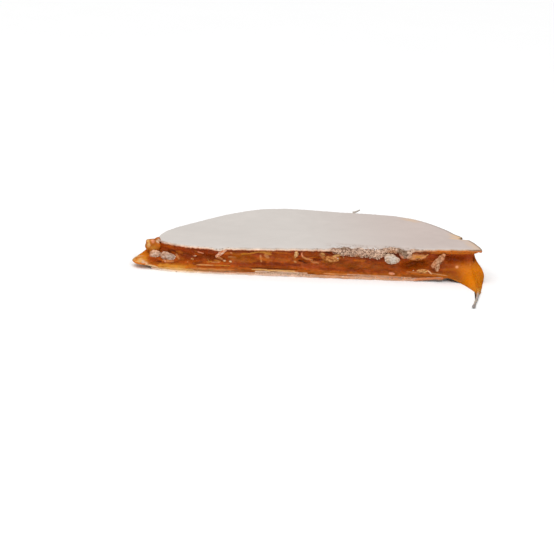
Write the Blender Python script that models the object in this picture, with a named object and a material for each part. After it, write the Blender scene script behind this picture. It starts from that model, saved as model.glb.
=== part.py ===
"""Half of a round wafer sandwich: two thin white wafers with a thick layer of caramel between them.

The round was cut in two just past its centre. X runs along the cut, the cut face looks along -Y, and the
half rests on its lower wafer. At the right the lower wafer's corner is broken off, and there the caramel
sags to the table and ends in a thread. Sizes are in millimetres, measured from the round's centre.
"""

import math

import bmesh
import bpy
import numpy as np
from mathutils import Euler, Vector

MM = 0.001  # the scene is in metres

# ---- driving sizes ----
WAFER_RADIUS = 45.0
WAFER_THICKNESS = 0.8
CUT_Y = 3.0  # the cut runs this far past the centre, so the piece is a little under a half
TOP_HEIGHT = 8.25  # upper face of the upper wafer, above the round's centre
TOP_SLOPE = 0.033  # the caramel is thicker towards the right, so the upper wafer climbs
LAYER_GAP = 0.3  # clearance between caramel and wafer
OUTLINE_HUB = np.array([0.0, 20.0])  # every outline is seen whole from this point

# ---- the upper wafer's outline and warp ----
TOP_ENDS = math.radians(3.8), math.radians(165.2)  # where the rim meets the cut, right and left
TOP_CORNER_FADE = 6.8  # the left corner is torn back, and this is the distance over which that fades
RIM_WAVE = 0.45
RIM_WAVE_CREST = math.radians(106)
RIM_WAVE_COUNT = 6.2  # crests in one full turn
RIM_NOTCH_ANGLE = math.radians(19)
RIM_NOTCH_DEPTH = 1.6
RIM_NOTCH_HALF_WIDTH = math.radians(2.6)
# Where the edge at the cut is crushed: place along the cut, half width, how far it hangs down.
CRUSHED_EDGES = (
    (-27.0, 2.6, 0.7),
    (7.5, 4.5, 0.9),
    (12.5, 5.5, 1.3),
    (15.2, 3.0, 0.6),
    (17.0, 2.4, 1.3),
    (24.2, 2.4, 1.8),
)
CRUSH_REACH = 4.2  # how far in from the cut the wafer bends

# ---- the lower wafer's outline and break ----
BASE_ENDS = math.radians(12.4), math.radians(172.8)
BASE_CORNER_FADE = 4.0
BREAK_X = 34.0  # the broken edge starts here on the cut
BREAK_SLOPE = 0.65  # and runs back by this much for each step to the right
BREAK_CURL = 0.6  # how far the wafer has lifted at the break
BREAK_CURL_REACH = 5.5

# ---- the caramel ----
CARAMEL_RADIUS = 44.2
CARAMEL_BASE_ENDS = math.radians(5.6), math.radians(173.4)
CARAMEL_TOP_ENDS = math.radians(4.8), math.radians(165.6)
CARAMEL_LEFT_OOZE = 0.4  # how much farther its foot swells out at the left end
LEFT_BULGE = 1.1  # how far the left end bulges in the middle of its height
CARAMEL_RIGHT_OOZE = 2.7
# Where its rim oozes out between the wafers: angle and half width in degrees, and how far.
RIM_OOZES = ((17.0, 9.0, 1.3), (50.0, 7.0, 1.2), (118.0, 9.0, 0.9), (168.0, 9.0, 2.0))
SAG_START = 0.55  # beyond the break, where its underside leaves the wafer
SAG_REACH = 3.9  # beyond the break, where it has sunk to the table
SAG_CLEARANCE = 0.03
TIP_TUCK = 1.3  # how far the right end is drawn in just below the upper wafer
LEFT_SWELL = 4.8  # how far the left end swells out over the table, low down
SKIRT_ROOT_X = 36.5  # the sag's skirt over the table starts here on the cut
# The skirt's edge on the table, from its root round its thread and back to the rim: x, y, and how far
# along the stretch of cut above it each place belongs, from 0 to 1. The sway is added to these places.
SKIRT_EDGE = (
    (36.5, 3.2, 0.0),
    (38.5, 3.1, 0.27),
    (39.7, 2.8, 0.43),
    (40.5, 1.2, 0.54),
    (41.1, -0.6, 0.61),
    (41.8, -3.0, 0.7),
    (42.3, -5.0, 0.765),
    (42.72, -6.9, 0.81),
    (42.95, -8.9, 0.835),
    (43.0, -12.2, 0.85),
    (43.27, -14.8, 0.865),
    (43.6, -12.1, 0.875),
    (43.65, -9.7, 0.885),
    (43.8, -7.2, 0.9),
    (44.25, -3.9, 0.92),
    (45.1, -0.6, 0.95),
    (45.7, 2.0, 0.98),
)
SWAY_START = 4.5  # this far in front of the centre the thread starts to lean to the left
SWAY_SLOPE = 0.3
SWAY_FADE = 1.5
SKIRT_STEEPNESS = 5.0  # how fast the skirt draws in as it climbs

# Wafer scraps stuck to the cut face: x, share of its height, how far proud, size in x, y and z, and
# lean in degrees.
FACE_FLAKES = (
    (-43.5, 0.46, 0.1, (3.3, 1.5, 2.7), 12.0),  # left lobe of the corner flake
    (-39.9, 0.45, 0.1, (4.8, 1.4, 2.6), 20.0),  # right lobe of the corner flake
    (-26.0, 0.88, 0.1, (3.6, 1.1, 1.0), -40.0),  # slanting scrap
    (-5.8, 0.86, 0.1, (1.1, 1.1, 2.0), 4.0),  # hanging strip
    (3.8, 0.66, 0.2, (4.0, 1.2, 1.6), 10.0),  # torn scrap in the rough hollow
    (20.1, 0.73, 0.5, (4.2, 2.2, 2.6), 4.0),  # round crumb
    (33.1, 0.68, 0.6, (1.7, 1.4, 5.2), 42.0),  # slanting strip near the right end
    (32.9, 0.47, 0.6, (1.3, 1.3, 3.2), 4.0),  # its second foot
    (28.9, 0.28, 0.3, (3.2, 0.9, 0.8), -6.0),  # thin scrap low down
)
SMALL_CRUMBS = 16
EAR_PLACE, EAR_SIZE, EAR_LEAN = (-44.5, 9.5, 5.45), (3.8, 2.6, 3.7), -4.0

# ---- steps ----
ARC_STEPS = 46
CUT_STEPS = 66
SKIRT_STEPS = 24
WAFER_RINGS = (0.5, 0.78, 0.9, 0.96, 1.0)
CARAMEL_BASE_RINGS = (0.5, 0.7, 0.78, 0.84, 0.89, 0.93, 0.97)
CARAMEL_SIDE_ROWS = (0.0, 0.1, 0.24, 0.38, 0.52, 0.66, 0.8, 0.92, 1.0)
CARAMEL_TOP_RINGS = (0.96, 0.9, 0.78, 0.5)

WAFER_WHITE = (0.66, 0.61, 0.57, 1.0)
CARAMEL_AMBER = (0.42, 0.13, 0.02, 1.0)


# ---- helper curves ----
def smooth_step(start, end, value):
    """0 before start, 1 after end, and an S-curve between them."""
    t = np.clip((value - start) / (end - start), 0.0, 1.0)
    return t * t * (3.0 - 2.0 * t)


def bump(value, centre, half_width):
    """A raised cosine: 1 at centre, 0 from half_width away."""
    t = np.clip(np.abs(value - centre) / half_width, 0.0, 1.0)
    return 0.5 + 0.5 * np.cos(math.pi * t)


def ripple(first, second, wavelength, seed):
    """Smooth unevenness between about -1 and 1: five plane waves whose directions and phases are drawn."""
    draw = np.random.default_rng(seed)
    total = 0.0
    for _ in range(5):
        turn, phase = draw.uniform(0.0, 2.0 * math.pi, 2)
        stretch = draw.uniform(0.7, 1.6)
        along = first * math.cos(turn) + second * math.sin(turn)
        total = total + np.sin(2.0 * math.pi * stretch * along / wavelength + phase)
    return total / 3.0


# ---- outlines in plan ----
def top_front(x):
    """The upper wafer's edge at the cut: slightly jagged, but straight close to both corners."""
    jagged = 0.22 * ripple(x, 0.0 * x, 4.5, 3) + 0.14 * ripple(x, 0.0 * x, 1.9, 4)
    return CUT_Y + jagged * smooth_step(-44.0, -34.0, x) * (1.0 - smooth_step(41.0, 44.0, x))


def base_front(x):
    """The lower wafer's edge at the cut, broken off at the right."""
    broken = BREAK_SLOPE * np.maximum(0.0, x - BREAK_X)
    return CUT_Y + broken + 0.2 * ripple(x, 0.0 * x, 3.0, 8)


def caramel_base_front(x):
    """The caramel's lower edge at the cut, which keeps going where the lower wafer is broken off."""
    return CUT_Y + 0.25 + 0.8 * smooth_step(38.0, 45.0, x)


def caramel_top_front(x):
    """The caramel's upper edge at the cut: tucked under the upper wafer, but flush with it at the right."""
    return CUT_Y + 0.55 - 0.5 * smooth_step(28.0, 33.0, x)


def top_rim(angle):
    """The upper wafer's rim: round, with one notch broken out near its right end."""
    uneven = 0.12 * ripple(WAFER_RADIUS * angle, 0.0 * angle, 9.0, 5)
    notch = RIM_NOTCH_DEPTH * bump(angle, RIM_NOTCH_ANGLE, RIM_NOTCH_HALF_WIDTH)
    return WAFER_RADIUS + uneven - notch


def base_rim(angle):
    return WAFER_RADIUS + 0.12 * ripple(WAFER_RADIUS * angle, 0.0 * angle, 8.0, 6)


def caramel_top_rim(angle):
    """The caramel's upper rim, which oozes out a little in a few places."""
    oozing = sum(reach * bump(np.degrees(angle), place, width) for place, width, reach in RIM_OOZES)
    uneven = 0.35 * ripple(CARAMEL_RADIUS * angle, 0.0 * angle, 13.0, 7)
    return CARAMEL_RADIUS - 0.2 + oozing + uneven


def caramel_base_rim(angle):
    """The caramel's lower rim: as the upper one, and swollen out at both ends."""
    left = CARAMEL_LEFT_OOZE * bump(angle, math.radians(170), math.radians(22))
    return caramel_top_rim(angle) + left + CARAMEL_RIGHT_OOZE * bump(angle, 0.0, math.radians(26))


def outline(rim, front, ends, corner_fade, last_stretch=None):
    """The plan outline, anticlockwise: round the rim from right to left, then back along the cut.

    The rim ends a little behind the cut at the left, and the step between them fades away exponentially.
    The last stretch of the cut takes its steps at the given shares of its length, even ones if none are.
    """
    if last_stretch is None:
        last_stretch = np.linspace(0.0, 1.0, SKIRT_STEPS + 2)[1:-1]
    angle = np.linspace(*ends, ARC_STEPS)
    arc = (rim(angle) * np.array([np.cos(angle), np.sin(angle)])).T
    start_x, start_y = arc[-1]
    x = np.linspace(start_x, SKIRT_ROOT_X, CUT_STEPS + 1)[1:]
    x = np.concatenate([x, SKIRT_ROOT_X + (arc[0, 0] - SKIRT_ROOT_X) * last_stretch])
    y = front(x) + (start_y - front(start_x)) * np.exp((start_x - x) / corner_fade)
    return np.concatenate([arc, np.stack([x, y], axis=1)])


def skirt_points():
    """Steps along the skirt's edge with one of them on the thread's tip: places, and shares of the cut."""
    edge = np.array(SKIRT_EDGE)
    run = np.concatenate([[0.0], np.cumsum(np.hypot(*np.diff(edge[:, :2], axis=0).T))])
    tip, half = run[np.argmin(edge[:, 1])], SKIRT_STEPS // 2
    stops = np.concatenate([np.linspace(0.0, tip, half + 1)[1:], np.linspace(tip, run[-1], half + 1)[1:]])
    x, y, share = [np.interp(stops, run, column) for column in edge.T]
    return np.stack([x, y], axis=1), share


def place_on_cut(plan, x):
    """Where an outline's edge at the cut is, at x."""
    return np.interp(x, plan[ARC_STEPS:, 0], plan[ARC_STEPS:, 1])


# ---- heights ----
def beyond_break(x, y):
    """Distance past the lower wafer's broken edge, negative on the wafer's side."""
    length = math.hypot(1.0, BREAK_SLOPE)
    return ((x - BREAK_X) * BREAK_SLOPE - (y - CUT_Y)) / length


def top_face(x, y):
    """Upper face of the upper wafer: a slope, a warp that grows towards the rim, and the crushed edge."""
    angle = np.arctan2(y, x)
    reach = np.hypot(x, y) / WAFER_RADIUS
    warp = RIM_WAVE * np.cos(RIM_WAVE_COUNT * (angle - RIM_WAVE_CREST)) * reach**3
    warp = warp * smooth_step(8.0, 22.0, y)
    hang = sum(depth * bump(x, place, width) for place, width, depth in CRUSHED_EDGES)
    near_cut = np.clip(1.0 - (y - CUT_Y) / CRUSH_REACH, 0.0, 1.0)
    return TOP_HEIGHT + TOP_SLOPE * x + warp - hang * near_cut**2


def curl(x, y):
    """How far the lower wafer has lifted near its broken edge."""
    return BREAK_CURL * smooth_step(-BREAK_CURL_REACH, 0.0, beyond_break(x, y))


def caramel_top(x, y):
    return top_face(x, y) - WAFER_THICKNESS - LAYER_GAP


def caramel_base(x, y):
    """The caramel's underside: on the lower wafer, and sinking to the table beyond the break."""
    on_wafer = WAFER_THICKNESS + LAYER_GAP + curl(x, y)
    sunk = smooth_step(SAG_START, SAG_REACH, beyond_break(x, y))
    return on_wafer * (1.0 - sunk) + SAG_CLEARANCE * sunk


# ---- the caramel's cut face ----
def cut_relief(x, v):
    """How far the caramel stands out of the plain cut face, at x along it and v up it, from 0 to 1."""
    left = 1.0 - smooth_step(-24.0, -8.0, x)
    lip = 0.9 * left * bump(v, 0.1, 0.2)
    groove = -0.9 * left * bump(v, 0.58, 0.34)
    swell = 0.6 * bump(x, -13.0, 8.0) * bump(v, 0.45, 0.4)
    hollow = -0.9 * bump(x, 2.0, 5.5) * bump(v, 0.62, 0.36)
    knob = 0.8 * bump(x, 9.0, 3.6) * bump(v, 0.62, 0.34)
    pocket = -2.6 * bump(x, 27.0, 5.0) * bump(v, 0.48, 0.3)
    under_tip = -1.5 * smooth_step(32.0, 37.0, x) * (1.0 - smooth_step(39.5, 42.5, x)) * bump(v, 0.7, 0.24)
    rough = 1.0 - 0.8 * smooth_step(33.0, 38.0, x)
    streaks = 0.28 * rough * ripple(x / 3.2, v * 6.0, 3.4, 11)
    pulled = streaks + 0.2 * rough * ripple(x, v * 6.0, 3.0, 12)
    relief = lip + groove + swell + hollow + knob + pocket + under_tip + pulled
    return relief * np.sin(math.pi * np.clip(v, 0.0, 1.0)) ** 0.6


def rim_relief(angle, v):
    """How far the caramel stands out of its plain rim: a soft roll with an uneven outline."""
    roll = 0.45 + 0.4 * ripple(CARAMEL_RADIUS * angle, v * 5.0, 9.0, 13)
    bulge = LEFT_BULGE * bump(angle, math.radians(171), math.radians(15)) * bump(v, 0.72, 0.5)
    return (roll + bulge) * np.sin(math.pi * np.clip(v, 0.0, 1.0)) ** 0.7


def pulled_left(points, v):
    """How far the caramel is moved to the left.

    It is drawn in below the wafer's right end and swollen out at its left, and its thread leans over.
    """
    x, y = points[:, 0], points[:, 1]
    near_tip = smooth_step(37.0, 43.5, x) * (1.0 - smooth_step(5.0, 15.0, y))
    tuck = TIP_TUCK * near_tip * smooth_step(0.2, 0.85, v) * (1.0 - smooth_step(0.93, 1.0, v))
    near_left = (1.0 - smooth_step(-45.0, -42.5, x)) * (1.0 - smooth_step(8.0, 15.0, y))
    swell = LEFT_SWELL * near_left * smooth_step(0.0, 0.14, v) * (1.0 - smooth_step(0.15, 0.8, v))
    thread = np.maximum(0.0, -SWAY_START - y)
    return tuck + swell + SWAY_SLOPE * thread**2 / (thread + SWAY_FADE)


def outward(points):
    """Unit plan normals of a closed anticlockwise outline."""
    along = np.roll(points, -1, axis=0) - np.roll(points, 1, axis=0)
    normal = np.stack([along[:, 1], -along[:, 0]], axis=1)
    return normal / np.linalg.norm(normal, axis=1, keepdims=True)


def face_point(plans, x, v):
    """A point on the caramel's cut face."""
    base_y, top_y = [place_on_cut(plan, x) for plan in plans]
    y = base_y * (1.0 - v) + top_y * v
    low, high = caramel_base(x, base_y), caramel_top(x, top_y)
    return np.array([x, y - cut_relief(x, v), low * (1.0 - v) + high * v])


# ---- meshes ----
def material(name, colour, roughness):
    made = bpy.data.materials.new(name)
    made.use_nodes = True
    shader = made.node_tree.nodes["Principled BSDF"]
    shader.inputs["Base Color"].default_value = colour
    shader.inputs["Roughness"].default_value = roughness
    shader.inputs["Metallic"].default_value = 0.0
    made.diffuse_color = colour
    return made


def new_object(name, vertices, faces, made_of):
    mesh = bpy.data.meshes.new(name)
    mesh.from_pydata((np.asarray(vertices) * MM).tolist(), [], faces)
    mesh.materials.append(made_of)
    mesh.validate()
    made = bpy.data.objects.new(name, mesh)
    bpy.context.scene.collection.objects.link(made)
    return made


def skin_of_rings(rings, first_pole, last_pole):
    """The vertices and faces of a closed skin over a stack of closed rings, with a pole at each end."""
    count = len(rings[0])
    vertices = np.concatenate([[first_pole], *rings, [last_pole]])
    last = len(vertices) - 1
    faces = [(0, 1 + (i + 1) % count, 1 + i) for i in range(count)]
    for ring in range(len(rings) - 1):
        low, high = 1 + ring * count, 1 + (ring + 1) * count
        for i in range(count):
            j = (i + 1) % count
            faces.append((low + i, low + j, high + j, high + i))
    start = 1 + (len(rings) - 1) * count
    faces += [(start + i, start + (i + 1) % count, last) for i in range(count)]
    return vertices, faces


def ring_at(points, height):
    """An outline in plan with its heights added."""
    return np.column_stack([points, height(points[:, 0], points[:, 1])])


def towards_hub(points, share):
    """The outline shrunk towards the hub: share 1 is the outline itself."""
    return OUTLINE_HUB + (points - OUTLINE_HUB) * share


def pole_at(height):
    x, y = OUTLINE_HUB
    return [x, y, float(height(np.float64(x), np.float64(y)))]


def build_wafer(name, plan, lower, upper):
    """A thin sheet between two height functions, its two faces split alike."""
    under = [ring_at(towards_hub(plan, share), lower) for share in WAFER_RINGS]
    over = [ring_at(towards_hub(plan, share), upper) for share in reversed(WAFER_RINGS)]
    vertices, faces = skin_of_rings(under + over, pole_at(lower), pole_at(upper))
    return new_object(name, vertices, faces, material(name, WAFER_WHITE, 0.85))


def build_top_wafer():
    plan = outline(top_rim, top_front, TOP_ENDS, TOP_CORNER_FADE)
    return build_wafer("top_wafer", plan, lambda x, y: top_face(x, y) - WAFER_THICKNESS, top_face)


def build_bottom_wafer():
    plan = outline(base_rim, base_front, BASE_ENDS, BASE_CORNER_FADE)
    return build_wafer("bottom_wafer", plan, curl, lambda x, y: WAFER_THICKNESS + curl(x, y))


def caramel_plans():
    """The caramel's lower and upper outlines."""
    _, shares = skirt_points()
    base = outline(caramel_base_rim, caramel_base_front, CARAMEL_BASE_ENDS, BASE_CORNER_FADE, shares)
    top = outline(caramel_top_rim, caramel_top_front, CARAMEL_TOP_ENDS, TOP_CORNER_FADE, shares)
    return base, top


def caramel_rings(foot, top_plan):
    """The caramel's rings: out along its underside, up its sides and in along its top."""
    count = len(foot)
    on_cut = np.arange(count) >= ARC_STEPS
    in_skirt = np.arange(count) >= count - SKIRT_STEPS
    edge, _ = skirt_points()
    base_plan = np.concatenate([foot[:-SKIRT_STEPS], edge])
    angle = np.arctan2(foot[:, 1], foot[:, 0])
    low = caramel_base(base_plan[:, 0], base_plan[:, 1])
    high = caramel_top(top_plan[:, 0], top_plan[:, 1])
    rings = [ring_at(towards_hub(foot, share), caramel_base) for share in CARAMEL_BASE_RINGS]
    for v in CARAMEL_SIDE_ROWS:
        drawn_in = np.where(in_skirt, 1.0 - (1.0 - v) ** SKIRT_STEEPNESS, v)[:, None]
        plan = base_plan * (1.0 - drawn_in) + top_plan * drawn_in
        stand = np.where(on_cut, cut_relief(plan[:, 0], v), rim_relief(angle, v))
        stand = stand * np.where(in_skirt, smooth_step(0.45, 0.75, v), 1.0)
        moved = plan + outward(plan) * stand[:, None]
        moved[:, 0] -= pulled_left(moved, v)
        rings.append(np.column_stack([moved, low * (1.0 - v) + high * v]))
    rings += [ring_at(towards_hub(top_plan, share), caramel_top) for share in CARAMEL_TOP_RINGS]
    return rings


def lump(name, centre, size, lean, seed, made_of, levels=2):
    """An uneven crumb: a ball with drawn radii, stretched to size and leaned over about the Y axis."""
    draw = np.random.default_rng(seed)
    mesh = bpy.data.meshes.new(name)
    work = bmesh.new()
    bmesh.ops.create_icosphere(work, subdivisions=levels, radius=0.5)
    tilt = Euler((0.0, math.radians(lean), 0.0)).to_matrix()
    for corner in work.verts:
        stretched = Vector([c * s for c, s in zip(corner.co * draw.uniform(0.8, 1.15), size)])
        corner.co = (tilt @ stretched + Vector(centre)) * MM
    work.to_mesh(mesh)
    work.free()
    mesh.materials.append(made_of)
    made = bpy.data.objects.new(name, mesh)
    bpy.context.scene.collection.objects.link(made)
    return made


def face_pieces(plans, made_of):
    """The flakes and crumbs stuck to the cut face."""
    pieces = []
    for number, (x, v, proud, size, lean) in enumerate(FACE_FLAKES):
        centre = face_point(plans, x, v) - np.array([0.0, proud, 0.0])
        pieces.append(lump(f"flake_{number}", centre, size, lean, 20 + number, made_of))
    draw = np.random.default_rng(77)
    for number in range(SMALL_CRUMBS):
        x, v = draw.uniform(-37.0, 30.0), draw.uniform(0.25, 0.8)
        wide, tall = draw.uniform(0.8, 1.5), draw.uniform(0.6, 1.0)
        centre = face_point(plans, x, v) - np.array([0.0, 0.05, 0.0])
        size, lean = (wide, 0.9, tall), draw.uniform(-50.0, 50.0)
        pieces.append(lump(f"crumb_{number}", centre, size, lean, 60 + number, made_of, levels=1))
    return pieces


def corner_ear(made_of):
    """The point of caramel that stands up beside the upper wafer's torn left corner."""
    return lump("ear", EAR_PLACE, EAR_SIZE, EAR_LEAN, 90, made_of)


def join_by_union(body, pieces):
    """One Boolean union of the pieces with the body, applied, with the pieces then removed."""
    group = bpy.data.collections.new("pieces_to_join")
    for piece in pieces:
        group.objects.link(piece)
    union = body.modifiers.new("union", "BOOLEAN")
    union.operation = "UNION"
    union.solver = "EXACT"
    union.operand_type = "COLLECTION"
    union.collection = group
    graph = bpy.context.evaluated_depsgraph_get()
    joined = bpy.data.meshes.new_from_object(body.evaluated_get(graph))
    body.modifiers.clear()
    body.data = joined
    for piece in pieces:
        bpy.data.objects.remove(piece)
    bpy.data.collections.remove(group)


def build_caramel():
    amber = material("caramel", CARAMEL_AMBER, 0.3)
    plans = caramel_plans()
    rings = caramel_rings(*plans)
    vertices, faces = skin_of_rings(rings, pole_at(caramel_base), pole_at(caramel_top))
    body = new_object("caramel_filling", vertices, faces, amber)
    join_by_union(body, [*face_pieces(plans, amber), corner_ear(amber)])
    return body


def centre_on_origin(objects):
    """Moves everything so that the middle of the underside of the whole's box is the origin."""
    corners = np.array([vertex.co for made in objects for vertex in made.data.vertices])
    low, high = corners.min(axis=0), corners.max(axis=0)
    middle = Vector(((low[0] + high[0]) / 2.0, (low[1] + high[1]) / 2.0, low[2]))
    for made in objects:
        made.location = -middle


def main():
    for old in list(bpy.data.objects):
        bpy.data.objects.remove(old)
    objects = [build_bottom_wafer(), build_caramel(), build_top_wafer()]
    for made in objects:
        made.data.shade_smooth()
        made.data.set_sharp_from_angle(angle=math.radians(40))
    centre_on_origin(objects)


main()
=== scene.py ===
# %% [markdown]
# # Half of a caramel wafer
# The real thing is two thin white wafers with a thick layer of caramel pressed between them, cut in
# two with a knife. This lesson builds what the eye sees: the dry wafers with their crumbled edges,
# and the glossy, torn face of the caramel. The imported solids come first. They are a fixed frame:
# nothing moves them, and every new piece has to take the place of one of them.

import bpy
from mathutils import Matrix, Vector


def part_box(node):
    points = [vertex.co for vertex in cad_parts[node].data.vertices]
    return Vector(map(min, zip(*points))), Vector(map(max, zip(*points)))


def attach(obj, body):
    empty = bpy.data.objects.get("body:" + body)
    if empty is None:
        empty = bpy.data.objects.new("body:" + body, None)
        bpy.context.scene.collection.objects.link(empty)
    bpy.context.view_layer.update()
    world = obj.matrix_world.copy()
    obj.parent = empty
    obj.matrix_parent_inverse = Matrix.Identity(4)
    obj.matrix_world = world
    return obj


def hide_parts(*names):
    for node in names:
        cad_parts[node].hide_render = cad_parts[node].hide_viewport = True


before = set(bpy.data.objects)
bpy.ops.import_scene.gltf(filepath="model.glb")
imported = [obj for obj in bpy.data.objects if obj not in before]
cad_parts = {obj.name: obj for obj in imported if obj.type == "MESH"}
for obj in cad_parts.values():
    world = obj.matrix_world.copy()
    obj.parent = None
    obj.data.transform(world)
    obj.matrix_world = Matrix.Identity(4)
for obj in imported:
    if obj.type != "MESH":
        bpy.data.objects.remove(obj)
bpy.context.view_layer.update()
print("solids in the frame:", sorted(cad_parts))

# %% [markdown]
# ## Units, colours and curves
# Sizes are written in millimetres from the centre of the round wafer, on the table, because that is
# how a maker would measure it: X runs along the cut and Y goes away from the cut face. The last step
# of every piece turns them into metres in the frame. Colours are written as a screen shows them, from
# 0 to 255, and are turned into light here.

# %% Units and colours
import itertools
import math

import bmesh
import bpy
import numpy as np

MM = 0.001


def light_of(red, green, blue):
    """The sRGB curve undone: a straight line near black and a power of 2.4 above it."""
    screen = np.array([red, green, blue]) / 255.0
    return np.where(screen <= 0.04045, screen / 12.92, ((screen + 0.055) / 1.055) ** 2.4)


def named_tones(**screens):
    """Colours by name, each turned into light."""
    return {name: light_of(*screen) for name, screen in screens.items()}


print("middle grey on a screen is this much light:", light_of(128, 128, 128).round(3)[0])

# %% Helper curves
def smooth_step(start, end, value):
    """0 before start, 1 after end, and 3t^2 - 2t^3 between them."""
    t = np.clip((value - start) / (end - start), 0.0, 1.0)
    return t * t * (3.0 - 2.0 * t)


def bump(value, centre, half_width):
    """A raised cosine: half of 1 + cos, 1 at centre and 0 from half_width away."""
    t = np.clip(np.abs(value - centre) / half_width, 0.0, 1.0)
    return 0.5 + 0.5 * np.cos(math.pi * t)


def ripple(first, second, wavelength, seed):
    """Unevenness from about -1 to 1: a third of the sum of five plane waves in drawn directions."""
    draw = np.random.default_rng(seed)
    total = 0.0
    for _ in range(5):
        turn, phase = draw.uniform(0.0, 2.0 * math.pi, 2)
        stretch = draw.uniform(0.7, 1.6)
        along = first * math.cos(turn) + second * math.sin(turn)
        total = total + np.sin(2.0 * math.pi * stretch * along / wavelength + phase)
    return total / 3.0


def mix(first, second, share):
    """First where share is 0 and second where it is 1, in a straight line between."""
    return first + (second - first) * share


def layered(tints, *layers):
    """Colours laid over each other: each layer is a colour and the share of it at every point."""
    for colour, share in layers:
        tints = mix(tints, colour, share[..., None])
    return tints


def unit(vectors):
    """Vectors of length 1: each is divided by its own length."""
    return vectors / np.linalg.norm(vectors, axis=-1, keepdims=True)


def full_turn(count):
    """Angles evenly round a full turn, the last one a step short of the first."""
    return np.linspace(0.0, 2.0 * math.pi, count, endpoint=False)


print("smooth step at a quarter and a half:", smooth_step(0.0, 1.0, np.array([0.25, 0.5])))

# %% [markdown]
# ## Noise on the mesh
# Crumb and torn caramel need shape, not only a bump in the material, because their outline shows.
# Blender has texture displacement for that, but working the noise out in numpy lets one value drive
# the shape and the colour together, so that a pit gets painted shade and a grain stays pale.


# %% Noise in numpy
def drawn(cells, seed):
    """A repeatable number from 0 to 1 for each cell: large primes mix its three whole numbers."""
    c = cells.astype(np.int64).astype(np.uint64)
    mixed = c[..., 0] * np.uint64(374761393) + c[..., 1] * np.uint64(668265263)
    mixed = mixed + c[..., 2] * np.uint64(3266489917) + np.uint64(seed) * np.uint64(2246822519)
    mixed = (mixed ^ (mixed >> np.uint64(15))) * np.uint64(2654435761)
    mixed = (mixed ^ (mixed >> np.uint64(13))) * np.uint64(1274126177)
    return ((mixed >> np.uint64(16)) & np.uint64(0xFFFFFF)).astype(float) / 0xFFFFFF


def grain(points, size, seed):
    """Smooth noise from -1 to 1: a drawn number at each corner of a cell, blended in between."""
    at = points / size
    low = np.floor(at)
    t = smooth_step(0.0, 1.0, at - low)
    total = 0.0
    for corner in itertools.product((0.0, 1.0), repeat=3):
        weight = np.prod(np.where(np.array(corner) > 0.5, t, 1.0 - t), axis=-1)
        total = total + weight * drawn(low + corner, seed)
    return 2.0 * total - 1.0


def crumbly(points, size, seed):
    """Domes with creases: 0.5 minus the distance to the nearest of one drawn spot per cell."""
    at = points / size
    low = np.floor(at)
    nearest = np.full(at.shape[:-1], 9.0)
    for offset in itertools.product((-1.0, 0.0, 1.0), repeat=3):
        cell = low + offset
        spot = cell + np.stack([drawn(cell, seed + n) for n in range(3)], axis=-1)
        nearest = np.minimum(nearest, np.linalg.norm(at - spot, axis=-1))
    return 0.5 - nearest


noise_sample = np.linspace(0.0, 20.0, 900).reshape(-1, 3)
for noise in (grain, crumbly):
    heard = noise(noise_sample, 1.0, 1)
    print(f"{noise.__name__} runs from {heard.min():.2f} to {heard.max():.2f}")

# %% [markdown]
# ## From rings of points to a mesh
# Every large piece here is a stack of closed rings: out along its underside, up its sides and in
# along its top, with a pole at each end. A grid like that can be pushed about as whole arrays, and it
# is always one closed skin. The finished colour of each point goes into an attribute, "tint", which
# the material reads.


# %% Rings, normals and pieces
def closed_skin(rings):
    """The faces of a skin over rows x count points, closed by a pole inside the first and last ring."""
    rows, count = rings.shape[:2]
    here = np.arange(count)
    there = (here + 1) % count
    starts = 1 + count * np.arange(rows - 1)[:, None]
    above = starts + count
    quads = np.stack([starts + here, starts + there, above + there, above + here], axis=-1)
    top = 1 + (rows - 1) * count
    first_fan = np.stack([0 * here, 1 + there, 1 + here], axis=1)
    last_fan = np.stack([top + here, top + there, 0 * here + rows * count + 1], axis=1)
    return quads.reshape(-1, 4).tolist() + first_fan.tolist() + last_fan.tolist()


def with_poles(rings):
    """The values of a stack of rings as one list, with the mean of the end rings at its ends."""
    flat = rings.reshape(-1, rings.shape[-1])
    return np.concatenate([rings[:1].mean(axis=1), flat, rings[-1:].mean(axis=1)])


def pushed_out(rings, distance):
    """Each point moved along its normal: the cross product of the way round and the way up the stack."""
    along = np.roll(rings, -1, axis=1) - np.roll(rings, 1, axis=1)
    normal = np.cross(along, np.gradient(rings, axis=0))
    normal = normal / (np.linalg.norm(normal, axis=2, keepdims=True) + 1e-9)
    return rings + normal * distance[..., None]


def put_in_scene(name, data):
    """An object for a mesh, a lens or a lamp, linked to the scene."""
    thing = bpy.data.objects.new(name, data)
    bpy.context.scene.collection.objects.link(thing)
    return thing


FINISHES = {}  # the material of each slot, added where it is made
# The light here is a little stronger than full white, so the pale wafer's tints are taken down.
TINT_LEVEL = {"wafer": 0.875, "caramel": 1.0}


def new_piece(name, vertices, faces, tints, slot, node):
    """A mesh in metres that rides on the root, stands for a node and carries a colour at each point."""
    mesh = bpy.data.meshes.new(name)
    mesh.from_pydata(((vertices + ROUND_CENTRE) * MM).tolist(), [], faces)
    colours = np.ones((len(vertices), 4), np.float32)
    colours[:, :3] = tints * TINT_LEVEL[slot]
    mesh.attributes.new("tint", "FLOAT_COLOR", "POINT").data.foreach_set("color", colours.ravel())
    mesh.materials.append(FINISHES[slot])
    mesh.shade_smooth()
    piece = put_in_scene(name, mesh)
    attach(piece, "root")
    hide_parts(node)
    print(f"{name}: {len(vertices)} points")


def new_skin(name, rings, tints, slot, node):
    """A stack of rings and the tints of its points as one closed piece."""
    new_piece(name, with_poles(rings), closed_skin(rings), with_poles(tints), slot, node)


# %% [markdown]
# ## The form of the real thing
# These are the same named sizes and formulas that the solids come from, so that the fine pieces fill
# exactly the same place. An outline goes round the rim from right to left and then back along the
# cut. Only the number of steps differs: a solid has about a hundred round its outline, and a fine
# piece has more than a thousand.

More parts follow.
